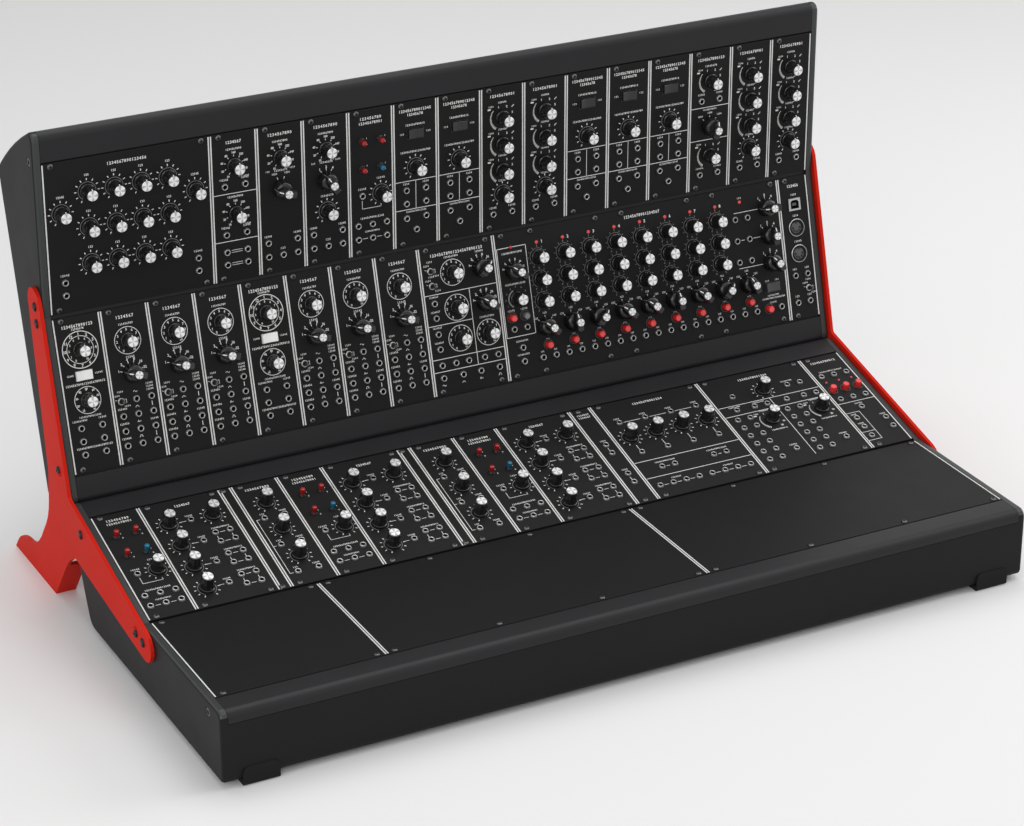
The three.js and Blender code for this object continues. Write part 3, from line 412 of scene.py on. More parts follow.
    def made(self, name):
        mesh = bpy.data.meshes.new(name)
        mesh.from_pydata([p / 1000 for p in self.points], [], self.faces)
        for material in self.materials:
            mesh.materials.append(material)
        mesh.polygons.foreach_set("material_index", self.slots)
        if CAP in self.materials:
            layer = mesh.uv_layers.new(name="turned")
            flat = [value for face in self.coords for corner in face for value in corner]
            layer.data.foreach_set("uv", flat)
        mesh.update()
        smooth(mesh, SMOOTH_BELOW)
        return new_object(name, mesh)


# Print

PRINT_RISE = 0.06
# Widths of a digit by its height, in a number and in a row that stands in for a word
DIGIT_STEP = 0.62
ROW_STEP = 0.86
DIGITS = {}


def digit_outline(text):
    """The triangles of a digit one unit high, from Blender's own plain font."""
    if text not in DIGITS:
        curve = bpy.data.curves.new("digit", "FONT")
        curve.body = text
        curve.resolution_u = 2
        curve.align_x = "CENTER"
        curve.offset = 0.03
        thing = bpy.data.objects.new("digit", curve)
        mesh = bpy.data.meshes.new_from_object(thing)
        points = [tuple(v.co) for v in mesh.vertices]
        faces = [list(p.vertices) for p in mesh.polygons]
        top = max(p[1] for p in points)
        DIGITS[text] = ([(p[0] / top, p[1] / top - 0.5) for p in points], faces)
        bpy.data.objects.remove(thing)
        bpy.data.curves.remove(curve)
    return DIGITS[text]


SWEEP = range(-150, 151, 30)
NINE = [-150 + 37.5 * i for i in range(9)]


def plain_dial(pen):
    pen.ring(7.5, 0.4, FAINT_INK, -150, 150)
    pen.ticks(SWEEP, 9.4, 10.4, 0.8)


def faint_dial(pen):
    pen.ring(7.5, 0.3, FAINT_INK, -150, 150)
    pen.ticks(SWEEP, 8.8, 9.4, 0.5, FAINT_INK)
    pen.around(9.8, (0, 5, 9), (-150, 0, 150), 1.3, FAINT_INK)


def ring_dial(pen):
    pen.ring(11.2, 0.55)
    pen.around(9.2, range(11), SWEEP, 2.1)


def double_dial(pen):
    pen.ring(15.1, 0.7)
    pen.ring(11.3, 0.5)
    pen.around(13.2, range(1, 13), range(0, 360, 30), 2.4)
    pen.around(9.5, range(11), SWEEP, 1.8)


def octave_dial(pen):
    pen.ring(11.1, 0.55)
    pen.around(9.4, range(10, 100, 10), NINE, 1.8)
    pen.ticks(NINE, 7.9, 8.6, 0.4)


def filter_dial(pen):
    pen.around(10.8, (10, 20, 40, 80, 160, 320, 640, 128, 256), NINE, 1.9)
    pen.ticks(NINE, 7.6, 8.5, 0.6)
    pen.number_row(10.4, -10.6, 5, 1.5)
    pen.number_row(-11.6, -11.4, 4, 1.4)


def envelope_dial(pen):
    for i in range(16):
        start = -50 - 6.2 * i
        pen.ring(10.9, 0.8 + 0.09 * i, INK, start - 3.6, start)
    pen.around(10.2, (1, 2, 5, 10, 20), (-20, 25, 70, 115, 150), 2.0)
    pen.ticks([48], 12.4, 14.4, 0.7)
    pen.stroke([(-13.0, 8.4), (-11.6, 8.4)], 1.4)
    pen.number_row(-10.6, 10.8, 5, 1.5)


def arc_dial(pen):
    pen.ring(7.65, 1.3, FAINT_INK, -150, -20)
    pen.around(10.5, range(11), SWEEP, 1.5, FAINT_INK)


# Controls, each standing on a panel whose face is at zero

SHAFT = [(3.0, -8.9), (3.0, 0.6)]
ROCKER_WELL = 3.4
JACK_SIDES = 18


def pot_knob(pen):
    pen.lathe([(0, 0.5), (6.3, 0.5), (6.4, 0.8), (6.3, 1.6), (5.6, 2.1)], 36, BLACK)
    body = [(5.9, 1.7), (5.9, 3.0), (5.3, 12.1), (5.15, 12.6), (4.4, 12.8)]
    pen.lathe(body, 24, BLACK, flutes=[0.2, 0.5, 0.45, 0.3, 0])
    pen.lathe([(4.45, 12.75), (4.35, 13.25), (4.15, 13.38), (0, 13.4)], 32, CAP)
    pen.bar((-0.4, 4.4, 11.8), (0.4, 5.3, 12.9), POINTER, ease=0.1)
    pen.lathe(SHAFT, 16, SILVER)


def selector_knob(pen):
    drum = [(0, 0.45), (7.9, 0.45), (8.05, 0.8), (7.95, 2.2), (7.5, 6.6), (7.2, 7.7), (6.5, 8.4),
            (5, 8.9), (0, 9)]
    pen.lathe(drum, 40, BLACK)

    def grip(z, z_tip, half, nose, tip, tail):
        right = [(half * 0.72, -tail), (half, -tail + 0.9), (half, -2.0), (half, 2.2), (half * 0.84, 4.6),
                 (nose, tip - 0.5), (nose * 0.45, tip)]
        outline = right + [(-x, y) for x, y in right[::-1]]
        return [(x, y, z + (z_tip - z) * max(0.0, y - 2.2) / (tip - 2.2)) for x, y in outline]
    pen.loft([
        grip(1.2, 1.2, 3.8, 1.3, 7.6, 8.2), grip(8.0, 8.0, 3.5, 1.2, 7.5, 8.1),
        grip(15.4, 12.3, 3.1, 1.0, 7.3, 7.8), grip(16.1, 12.9, 2.7, 0.7, 6.9, 7.4),
    ], BLACK)
    pen.loft([[(-0.42, 4.1, rear), (0.42, 4.1, rear), (0.42, 7.0, tip), (-0.42, 7.0, tip)]
              for rear, tip in ((14.4, 12.0), (15.0, 13.0))], POINTER)
    pen.bar((-0.42, 7.2, 2.6), (0.42, 7.75, 12.4), GREY_POINTER_AND_HIGHLIGHT)
    # A grey patch on the tail's end: painted highlight where the tail's top catches the light
    pen.bar((-1.4, -8.15, 10.6), (1.4, -7.6, 14.4), GREY_POINTER_AND_HIGHLIGHT)
    pen.lathe([(4.2, 14.6), (4.15, 16.3), (3.9, 16.65), (3.4, 16.65)], 28, BLACK)
    pen.lathe([(3.35, 16.3), (3.3, 17.1), (3.1, 17.35), (0, 17.4)], 28, CAP)
    pen.lathe(SHAFT, 16, SILVER)


def bat_lever(pen, material):
    profile = [(0, -1.2), (1.5, -1.2), (1.7, 1.2), (2.1, 4.6), (2.2, 5.6), (2.05, 6.35), (1.35, 6.75),
               (0, 6.85)]
    pen.lathe(profile, 18, material)


def lever_bush(pen, material):
    pen.lathe([(3.1, -0.05), (3.1, 0.6), (2.9, 0.8), (2.5, 0.8)], 12, material)
    pen.lathe([(2.5, 0.8), (2.5, 1.4), (2.35, 1.6), (2.2, 1.55), (2.1, 1.0)], 18, material)
    # A near-black disc round the lever: painted shade in the bush's hole
    pen.lathe([(2.1, 1.0), (0, 0.95)], 18, SOCKET_BLACK_AND_PAINTED_SHADE)


def metal_lever(pen):
    pen.lathe([(0, -1.2), (0.9, -1.2), (1.0, 2.0), (1.3, 5.2), (1.5, 6.6), (1.2, 7.3), (0, 7.45)], 16, NUT)


def rocker_cap(pen, material):
    half, wide = 7.05, 3.9
    ribs = ((-half, 1.15), (-half + 0.5, 2.5), (-3.2, 1.9), (0, 1.5), (3.2, 1.9), (half - 0.5, 2.5),
            (half, 1.15))
    sections = []
    for x, z in ribs:
        sections.append([(x, -wide, -1.4), (x, wide, -1.4), (x, wide, z - 0.35), (x, wide - 0.4, z),
                         (x, -wide + 0.4, z), (x, -wide, z - 0.35)])
    pen.loft(sections, material)


def rocker_frame(pen):
    outer, inner = oblong(7.9, 4.7), oblong(7.35, 4.15)
    eased = [(x * 0.995, y * 0.99) for x, y in outer]
    pen.loft([level(outer, 0.0), level(eased, 0.5), level(inner, 0.5), level(inner, -ROCKER_WELL)],
             BLACK, close=False)
    # A near-black sheet at the bottom of the well: painted shade under the cap
    pen.add(level(inner, -ROCKER_WELL), [[0, 1, 2, 3]], SOCKET_BLACK_AND_PAINTED_SHADE)


def push_button(pen, material):
    pen.lathe([(0, -3.9), (2.95, -3.9), (3.0, 4.9), (2.8, 5.4), (2.1, 5.5)], 28, material)
    centre = PALE_GREY if material is GREY else PALE_RED
    pen.lathe([(2.1, 5.5), (2.0, 5.35), (0, 5.3)], 28, centre)


def button_collar(pen):
    pen.lathe([(4.9, 0), (4.85, 0.5), (4.6, 0.6), (3.75, 0.6), (3.7, -1.5)], 28, BLACK)
    # A near-black disc round the button: painted shade in the gap under the collar
    pen.lathe([(3.75, -1.4), (0, -1.4)], 28, SOCKET_BLACK_AND_PAINTED_SHADE)


def patch_socket(pen):
    pen.lathe([(3.2, -0.02), (3.2, 0.5), (3.05, 0.7), (2.65, 0.8)], JACK_SIDES, NUT)
    pen.lathe([(2.65, 0.8), (2.6, 1.5), (2.4, 1.75), (2.0, 1.75), (1.8, 1.5)], JACK_SIDES, SILVER)
    pen.lathe([(1.8, 1.5), (1.8, -0.4)], JACK_SIDES, SCREW)
    # The bore in near black: the jack's black insides, with painted shade down the hole
    pen.lathe([(1.8, -0.4), (1.78, -6.0), (0, -6.0)], JACK_SIDES, SOCKET_BLACK_AND_PAINTED_SHADE)


def screw(pen):
    """A cross-head screw, its four slots as dark bars under the crown and its centre as a dark hollow:
    painted shade in the recess.
    """
    pen.lathe([(2.5, -0.02), (2.5, 0.5), (2.1, 1.0), (1.5, 1.25), (1.1, 1.3)], 20, SCREW)
    pen.lathe([(1.1, 1.3), (0.7, 0.7), (0, 0.6)], 8, SOCKET_BLACK_AND_PAINTED_SHADE)
    for turn in (20, 110):
        pen.at(0, 0, 0, turn).bar((-1.3, -0.22, 1.1), (1.3, 0.22, 1.32), SOCKET_BLACK_AND_PAINTED_SHADE)


def small_lamp(pen, radius):
    pen.lathe([(radius + 0.5, -0.02), (radius + 0.4, 0.4), (radius, 0.45)], 16, BLACK)
    pen.lathe([(radius, 0.3), (radius * 0.94, 0.9), (radius * 0.6, 1.4), (0, 1.6)], 16, LED)


def square_socket(pen):
    outer = oblong(6.2, 5.6)
    face = [(x * 0.96, y * 0.96) for x, y in outer]
    bore = [(-4.2, 2.2), (-2.6, 3.85), (2.6, 3.85), (4.2, 2.2), (4.2, -3.85), (-4.2, -3.85)]
    pen.loft([level(outer, -1), level(outer, 0.9), level(face, 1.2)], SILVER, close=False)
    pen.flat(face, [bore], 1.2, SILVER)
    # The opening in near black: painted shade inside the socket
    pen.loft([level(bore, 1.2), level(bore, -8.5)], SOCKET_BLACK_AND_PAINTED_SHADE, close=False)
    pen.add(level(bore[::-1], -8.4), [list(range(6))], SOCKET_BLACK_AND_PAINTED_SHADE)
    pen.bar((-2.3, -1.3, -8.4), (2.3, 1.3, 0.4), SOCKET_DISC, ease=0.3)


def round_socket(pen):
    """A round socket with five holes in its disc."""
    rim = [(8.1, -0.02), (8.05, 0.7), (7.8, 0.9), (7.4, 0.9), (7.3, 0.6), (7.3, -1.6)]
    pen.lathe(rim, 36, SILVER)
    # Near black between rim and disc, in the key slot and in the five pin holes: painted shade in these
    # hollows
    pen.lathe([(7.3, -1.6), (5.1, -1.6)], 36, SOCKET_BLACK_AND_PAINTED_SHADE)
    pen.lathe([(5.1, -1.6), (5.1, -0.3), (4.9, -0.1), (0, -0.1)], 36, SOCKET_DISC)
    pen.bar((-1.0, 3.6, -0.9), (1.0, 5.3, 0.1), SOCKET_BLACK_AND_PAINTED_SHADE)
    for angle in range(90, 271, 45):
        hole = pen.at(*polar(3.6, angle), -0.1)
        hole.lathe([(1.3, 0.0), (1.25, 0.12), (1.15, 0.12)], 12, SOCKET_DISC)
        hole.lathe([(1.15, 0.12), (1.1, 0.04), (0, 0.04)], 12, SOCKET_BLACK_AND_PAINTED_SHADE)


# Modules

POT_HOLE = 3.5
LEVER_HOLE = 2.6
JACK_HOLE = 2.4
BUTTON_HOLE = 4.5
ROCKER_HOLE = (7.5, 4.3)
SAME_PLACE = 1.5
SCREW_HEIGHTS = (3.0, 125.5)
END_SCREW = 7.5
PANEL_EASE = 0.3
STAGE_TURNS = (45, 0, -45, 45, 45, 0, 45, -45, 20)
# The signs of sine, triangle, saw and pulse
WAVES = (
    [(-1.6, 0), (-0.9, 0.7), (-0.2, 0.4), (0.2, -0.4), (0.9, -0.7), (1.6, 0)],
    [(-1.4, -0.6), (0, 0.8), (1.4, -0.6)],
    [(-1.4, -0.6), (-0.6, 0.8), (-0.6, -0.6), (1.4, -0.2)],
    [(-1.5, -0.7), (-0.8, -0.7), (-0.8, 0.8), (0.8, 0.8), (0.8, -0.7), (1.5, -0.7)],
)


def grid(columns, heights):
    """The places of a grid in millimetres, its columns given in width units. One number is a row of one."""
    for v in heights if isinstance(heights, tuple) else (heights,):
        for x in columns if isinstance(columns, tuple) else (columns,):
            yield x * HP, v


class Module:
    """One module as it is being dressed. Columns are in width units from its middle."""

    def __init__(self, units, row, middle, own_nodes):
        self.half = units * HP / 2
        self.middle = middle
        self.pen = Shape(ROW_MATRIX[row]).at(middle, 0)
        self.holes = []
        self.own = own_nodes
        self.moving = []

    def control(self, x, v, draw, hole=None, turn=0, looks=()):
        """Draws a control, as a piece of its own if the CAD has a node for it."""
        pen = self.pen.at(x, v, 0, turn)
        near = [node for node, spot in self.own.items() if math.dist(spot, (x, v)) < SAME_PLACE]
        if near:
            pen = Shape(pen.matrix)
            del self.own[near[0]]
            self.moving.append((near[0], pen))
            if hole:
                self.holes.append((x, v, hole))
        draw(pen, *looks)

    def knob(self, columns, heights, dial=plain_dial):
        for x, v in grid(columns, heights):
            self.control(x, v, pot_knob, POT_HOLE)
            dial(self.pen.at(x, v))

    def selector(self, x, v, turn, marks=(-75, -45, -15, 15, 45, 75), radius=11.8, height=2.2,
                 tick=(8.8, 10.2), rows=()):
        """Rows are short number rows in place of the dial's numerals, each (across, up, width)."""
        x *= HP
        self.control(x, v, selector_knob, POT_HOLE, turn)
        dial = self.pen.at(x, v)
        dial.ticks(marks, *tick, 0.6)
        for across, up, width in rows:
            dial.number_row(across, up, width, 1.6)
        if not rows:
            dial.around(radius, [2 ** i for i in range(len(marks))], marks, height)

    def jack(self, columns, heights):
        for x, v in grid(columns, heights):
            patch_socket(self.pen.at(x, v))
            self.holes.append((x, v, JACK_HOLE))

    def toggle(self, x, v, material):
        x *= HP
        spot = self.pen.at(x, v)
        lever_bush(spot, BLACK)
        self.control(x, v, bat_lever, LEVER_HOLE, looks=[material])
        spot.numeral(1, 4.6, 2.2, 1.5)
        spot.numeral(0, 4.6, -3.0, 1.5)

    def metal_toggle(self, x, v):
        x *= HP
        spot = self.pen.at(x, v)
        lever_bush(spot, SILVER)
        self.control(x, v, metal_lever, LEVER_HOLE)
        for side in (-1, 1):
            spot.stroke([(side * 3.6, 1.4), (side * 4.6, 1.4), (side * 4.6, -1.8 * side)], 0.4)
        for across, up in ((0, 8.0), (-3.4, 5.0), (4.8, -4.4)):
            spot.number_row(across, up, 5.6, 1.5)

    def rocker(self, x, v, material):
        x *= HP
        rocker_frame(self.pen.at(x, v))
        self.control(x, v, rocker_cap, looks=[material])
        self.holes.append((x, v, ROCKER_HOLE))

    def button(self, x, v, material=RED):
        x *= HP
        button_collar(self.pen.at(x, v))
        self.control(x, v, push_button, looks=[material])
        self.holes.append((x, v, BUTTON_HOLE))

    def led(self, x, v, radius=1.5):
        small_lamp(self.pen.at(x * HP, v), radius)

    def screws(self, *places):
        for x in places:
            for v in SCREW_HEIGHTS:
                screw(self.pen.at(x, v))

    def line(self, *points, width=0.5):
        self.pen.stroke(points, width)

    def rules(self, heights, reach=18.4, width=0.6):
        """Lines across the panel, as far as reach to both sides."""
        for v in heights:
            self.line((-reach, v), (reach, v), width=width)

    def links(self, columns, v, gap=4.4, width=0.5):
        """Lines between sockets that stand side by side."""
        for a, b in zip(columns, columns[1:]):
            self.line((a * HP + gap, v), (b * HP - gap, v), width=width)

    def waves(self, columns, heights):
        for (x, v), wave in zip(grid(columns, heights), WAVES):
            self.pen.at(x, v).stroke(wave, 0.42)

    def label(self, columns, heights, width=6.0, height=1.7):
        for x, v in grid(columns, heights):
            self.pen.number_row(x, v, width, height)

    def labels(self, height, *rows):
        """Number rows of one height, each (column, up, width)."""
        for column, v, width in rows:
            self.label(column, v, width, height)

    def head(self, width, v=120.4, height=2.5):
        """The heading, and the screws at the left end, or at both ends of a wide panel."""
        self.label(0, v, width, height)
        end = self.half - END_SCREW
        self.screws(-end, *([end] if self.half > 6 * HP else []))

    def plate(self):
        """The panel itself, its openings cut right through it."""
        half = self.half - SIDE_GAP
        low, high, side = PANEL_EASE, PANEL_HEIGHT - PANEL_EASE, half - PANEL_EASE
        outer = [(-side, low), (side, low), (side, high), (-side, high)]
        rim = [(-half, 0), (half, 0), (half, PANEL_HEIGHT), (-half, PANEL_HEIGHT)]
        holes = []
        for x, v, size in self.holes:
            if isinstance(size, tuple):
                a, b = size
                holes.append([(x - a, v - b), (x - a, v + b), (x + a, v + b), (x + a, v - b)])
            else:
                corners = [polar(size, angle) for angle in range(120, 480, 30)]
                holes.append([(x + px, v + py) for px, py in corners])
        self.pen.flat(outer, holes, 0, PANEL)
        self.pen.flat(rim, holes, -PANEL_THICK, PANEL, up=False)
        for loop in holes:
            self.pen.loft([level(loop, -PANEL_THICK), level(loop, 0)], PANEL, close=False)
        sections = [level(rim, -PANEL_THICK), level(rim, -PANEL_EASE), level(outer, 0)]
        self.pen.loft(sections, PANEL, close=False)
        for x in (1.0 - self.half, self.half - 1.0):
            self.line((x, 1.2), (x, PANEL_HEIGHT - 1.2), width=1.1)


PAIR = (-1.77, 1.77)
TRIO = (-2.56, 0, 2.56)


def filter_bank(m):
    columns, sides = (-6.75, -2.25, 2.25, 6.75), (-11.25, 11.25)
    m.knob(columns, (100.5, 70.0, 39.4))
    m.label(columns, (114.1, 83.6, 53.0), 4.4, 1.8)
    m.knob(sides, 85.2)
    m.label(sides, 98.8, 7, 1.8)
    m.jack(sides, (26.0, 15.0))
    m.label(sides, 32.2, 8)
    m.head(34)


def filter_module(m):
    m.knob(0, (100.5, 59.0), filter_dial)
    m.jack(PAIR, (83.0, 41.2, 26.0, 15.0))
    m.rules((76.3, 35.2))
    m.rules((26.9, 25.1, 15.9, 14.1), 4.6, 0.4)
    m.label(0, (114.4, 73.4), 14)
    m.label(PAIR, (88.8, 47.2), 7)
    m.head(14)


def high_pass(m, low=False):
    m.knob(0, 100.5, filter_dial)
    if low:
        m.selector(0, 73.0, 29, (-30, 0, 30))
        m.knob(0, 46.4)
        m.label(0, 59.6, 12)
    else:
        m.selector(0, 73.0, 75, (-18, 18), rows=((-5.6, 13.2, 5), (5.6, 13.2, 5)))
    m.jack((-2.56, 2.56), 27.2)
    m.jack(TRIO, 15.0)
    m.labels(1.7, (0, 114.2, 14), (0, 89.0, 12), (-2.56, 32.8, 7), (2.56, 32.8, 7), (0, 20.8, 5))
    m.head(22)


def low_pass(m):
    high_pass(m, low=True)


def control_voltages(m):
    for x, v in ((-1.64, 101.0), (1.64, 101.0), (-1.64, 77.0)):
        m.toggle(x, v, LEVER_RED)
    m.toggle(1.64, 77.0, LEVER_BLUE)
    m.knob(1.64, 53.5)
    m.jack(-1.73, 53.3)
    m.jack(TRIO, (27.2, 15.0))
    m.labels(1.7, (-1.73, 59.2, 8), (1.64, 67.0, 8), (0, 33.2, 22))
    m.label(0, 21.1, 14, 1.5)
    m.line((-8.8, 48.8), (-8.8, 41.6), (8.3, 41.6), (8.3, 43.8), width=0.45)
    m.links(TRIO, 15.0, width=0.45)
    m.head(20)
    m.label(0, 116.4, 22, 2.3)


def amplifier(m):
    m.rocker(0, 100.2, BLACK)
    m.knob(0, 71.1)
    m.jack(PAIR, (51.0, 39.1, 26.0))
    m.jack(0, 15.0)
    m.rules((58.9, 33.6))
    m.line((0, 58.9), (0, 33.6))
    m.labels(1.7, (0, 108.2, 18), (0, 84.6, 28), (-1.77, 56.6, 6), (1.77, 56.6, 6))
    m.labels(1.5, (-2.4, 100.8, 4.4), (2.4, 100.8, 4.4), (0, 31.6, 19))
    m.head(30, 120.9, 2.4)
    m.label(0, 117.2, 15, 2.3)


def envelope(m):
    m.knob(0, (100.5, 77.0, 53.5), envelope_dial)
    m.knob(0, 32.5)
    m.label(0, (114.2, 90.2, 66.8, 44.4), 8, 1.6)
    m.jack(PAIR, 15.0)
    m.label(PAIR, 20.6, 7)
    m.head(24)


def trigger_delay(m):
    m.knob(0, (100.5, 32.3), envelope_dial)
    m.selector(0, 59.2, -17, (-45, 0, 45), tick=(8.3, 9.0),
               rows=((-9.5, 9.5, 5), (0, 12, 5), (9.5, 9.5, 5)))
    m.jack(PAIR, (83.0, 15.0))
    m.rules((76.6, 46.6))
    m.labels(1.7, (0, 114.2, 12), (-1.77, 88.8, 7), (1.77, 88.8, 7))
    m.labels(1.5, (0, 74.4, 14), (-1.77, 20.8, 8), (1.77, 20.8, 8))
    m.head(27)


def oscillator_driver(m):
    m.knob(0, 100.5, double_dial)
    m.rocker(0, 79.5, WHITE)
    m.knob(0, 58.9, octave_dial)
    m.jack(PAIR, (37.0, 26.0, 15.0))
    m.label(0, 117.7, 11)
    m.label(0, 72.6, 34, 1.8)
    m.labels(1.5, (-2.3, 80.6, 6), (2.45, 79.6, 7), (0, 45.7, 19), (-1.85, 43.1, 13), (1.95, 43.1, 7))
    m.label(0, 20.5, 31, 1.6)
    m.head(27)


def oscillator(m):
    m.knob(0, 100.5, ring_dial)
    m.selector(0, 73.5, 75)
    m.metal_toggle(-2.56, 52.0)
    m.jack((0, 2.56), 52.0)
    m.jack(TRIO, (39.6, 27.2, 15.0))
    m.waves(0, (58.2, 45.8, 33.4, 21.0))
    for v in (45.9, 21.0):
        m.line((2.56 * HP, v - 1.5), (2.56 * HP, v + 1.5), width=0.6)
    m.label(0, 86.9, 8, 1.8)
    m.label(2.5, (62.9, 60.4, 57.9), 6.6, 1.5)
    m.label(-2.56, (45.6, 33.3, 21.0), 8.4, 1.6)
    m.labels(1.6, (0, 114.4, 13), (2.56, 33.3, 7.2))
    m.head(16)


def wide_oscillator(m):
    m.metal_toggle(-5.12, 107.6)
    m.metal_toggle(-5.12, 94.8)
    m.knob(-1.1, (103.4, 73.1, 46.3), ring_dial)
    m.knob(4.2, 46.5, ring_dial)
    m.selector(4.16, 103.4, -45, radius=10.8)
    m.selector(4.16, 73.1, 50, radius=10.8)
    m.jack(-5.12, (79.7, 67.1, 53.1, 40.1))
    m.jack((-5.12, -2.54, -0.15, 2.84, 5.38), 26.0)
    m.jack((-5.12, -1.48, 1.86, 5.38), 15.0)
    m.waves((-5.12, -1.48, 1.86, 5.38), 8.7)
    edge, divide = m.half - 2, 7.92
    m.rules((87.2, 31.5, 20.6), edge)
    m.line((-edge, 60.6), (divide, 60.6), width=0.6)
    m.line((divide, 87.2), (divide, 20.6), width=0.6)
    m.labels(1.6, (-1.1, 117.2, 14), (4.16, 117.2, 8), (4.16, 60.4, 14))
    m.label(-5.12, (85.2, 72.4, 58.6, 45.7), 9, 1.5)
    m.head(50)


def sequencer(m):
    columns = tuple(range(-20, 20, 5))
    m.knob(columns, (102.4, 83.0, 64.0), faint_dial)
    for i, x in enumerate(columns):
        m.led(x, 115.0)
        m.pen.numeral(i + 1, x * HP + 5.2, 115.0, 2.6)
    m.led(20, 115.0)
    for x, turn in zip(columns + (20,), STAGE_TURNS):
        m.selector(x, 41.2, turn, (-45, 0, 45), tick=(8.6, 9.4),
                   rows=((-9, 8.2, 4), (0, 12, 4), (9, 8.2, 4), (0, -11.5, 4)))
        m.button(x, 25.1)
        m.jack((x - 1.25, x + 1.25), 15.0)
        m.label((x - 1.25, x + 1.25), 20.0, 3.4, 1.4)
    # The block at the left, in its frame
    left, right = -139.88, -112.18
    m.line((left, 114.9), (right, 114.9), (right, 37.4), (left, 37.4), (left, 114.9), width=0.6)
    m.led(-24.9, 114.9, 1.2)
    m.selector(-24.83, 94.4, 47, radius=10.3, height=1.7)
    m.knob(-24.85, 70.0, arc_dial)
    m.button(-26.2, 54.3)
    m.button(-23.75, 54.3, GREY)
    m.jack((-26.06, -23.6), 44.1)
    m.jack(-24.85, (27.1, 15.0))
    m.labels(1.6, (-24.8, 110.2, 20), (-24.85, 83.0, 20))
    m.label((-26.2, -23.75), 60.4, 7, 1.5)
    m.label(-24.85, (33.0, 21.0), 12, 1.5)
    # The ninth stage and the block at the right
    m.jack((18.75, 21.25), (100.1, 80.8, 61.6))
    m.line((100.2, 80.8), (103.0, 80.8))
    for start, v in ((95.12, 105.7), (112.62, 80.8), (95.12, 56.0)):
        m.line((start, v), (119.12, v))
    for v, turn in ((105.8, 90), (81.1, -8), (56.3, 33)):
        m.selector(25.16, v, turn, (-36, 0, 36), radius=11.4, tick=(8.6, 9.4))
    m.rocker(24.9, 34.1, DARK_GREY)
    m.button(23.7, 15.2)
    m.jack(26.28, 15.0)
    m.labels(1.5, (20, 118.6, 4.5), (23.9, 40.2, 4.5), (25.9, 40.2, 4.5), (24.9, 26.8, 12),
             (24.9, 24.3, 24), (24.75, 20.4, 7))
    m.label(0.6, 121.2, 36, 2.5)
    m.screws(-134.74, -106.38, -42.68, -16.88, 48.72, 74.42, 134.62)


def digital_input(m):
    for v, draw, hole in ((103.6, square_socket, (5.9, 5.3)), (82.5, round_socket, 7.6),
                          (59.0, round_socket, 7.6)):
        draw(m.pen.at(0, v))
        m.holes.append((0, v, hole))
    m.metal_toggle(1.25, 26.6)
    m.jack((-1.25, 1.25), (39.7, 15.0))
    m.label(0, (112.4, 93.4))
    m.label(0, 70.2, 8)
    m.label((-1.25, 1.25), (45.5, 20.8), 4.6)
    m.head(12)


def mixer(m):
    m.knob(-3.75, (100.5, 73.8, 47.0, 20.4))
    m.knob(3.75, 100.5)
    for v in (100.7, 73.6, 46.8, 20.7):
        m.jack(0, v)
        m.line((-8.4, v), (-4.4, v))
        m.label(0, v + 5.6, 7, 1.6)
    outputs = (2.5, 5.0)
    for high, low in ((79.7, 68.5), (52.9, 41.8), (26.3, 15.0)):
        m.jack(outputs, (high, low))
        m.label(3.75, high + 5.9, 16, 1.6)
        m.links(outputs, high)
        m.links(outputs, low)
        for x in outputs:
            m.line((x * HP, low + 4.4), (x * HP, high - 4.4))
    m.head(14)


def narrow_blank(m):
    m.screws(-m.half + 2.6)


def attenuators(m):
    m.knob(0, (100.5, 66.7, 33.0))
    m.line((-15.9, 83), (-15.9, 15))
    for v in (83.0, 49.0, 15.0):
        m.jack(PAIR, v)
        m.labels(1.6, (-1.77, v + 5.8, 4.6), (1.77, v + 5.8, 6.6))
        m.line((-15.9, v), (-13.2, v))
    m.head(22)


def trigger_converter(m):
    m.jack(0, (77.4, 66.2, 37.8, 26.3))
    m.label(0, (83.4, 43.8))
    m.label(0, (120.4, 117.0), 12, 2.0)
    m.line((0, 70.0), (0, 73.6))
    m.line((0, 30.4), (0, 33.6))
    m.screws(-m.half + 8)


def wide_attenuators(m):
    columns = (-7.5, -2.5, 2.5, 7.5)
    m.knob(columns, 80.3)
    m.jack(columns, (100.5, 59.4))
    m.links(columns, 100.5, 4.6)
    m.label(columns, 106.4)
    for x in columns:
        m.line((x * HP, 69.6), (x * HP, 63.6))
    m.rules((48.0, 26.4), m.half - 2.4)
    m.jack((-6.07, -3.61, 3.97, 6.41), 36.6)
    for x in (-4.84, 5.19):
        m.label(x, 43.4, 20, 1.6)
        m.line((x * HP - 1.4, 36.6), (x * HP + 1.4, 36.6))
    eight = tuple(2.5 * (i - 3.5) for i in range(8))
    m.jack(eight, 15.0)
    for four in (eight[:4], eight[4:]):
        m.links(four, 15.0)
        m.label(sum(four) / 4, 21.4, 10, 1.6)
    m.head(30)


def interface(m):
    rates = (-2.5, 7.5)
    m.knob(0, 100.5)
    m.knob(rates, 62.6, envelope_dial)
    m.jack((-6.17, 4.88, 7.46), 100.7)
    m.jack((-7.25, -3.7, -1.17, 2.75, 6.24, 8.76), 83.1)
    m.jack((-8.5, -6.0, 1.46, 4.0), (70.4, 59.2, 48.1, 36.9, 26.0, 14.9))
    m.jack(rates, 20.9)
    m.rules((90.0, 77.0), m.half - 2.4)
    m.line((0.28, 90.0), (0.28, 10.0), width=0.6)
    m.labels(1.5, (-7.25, 88.0, 12), (-2.45, 88.0, 12), (5.3, 106.6, 12))
    for v, width in ((49.6, 16), (76.0, 12), (27.0, 8)):
        m.label(rates, v, width, 1.6)
    m.head(30)


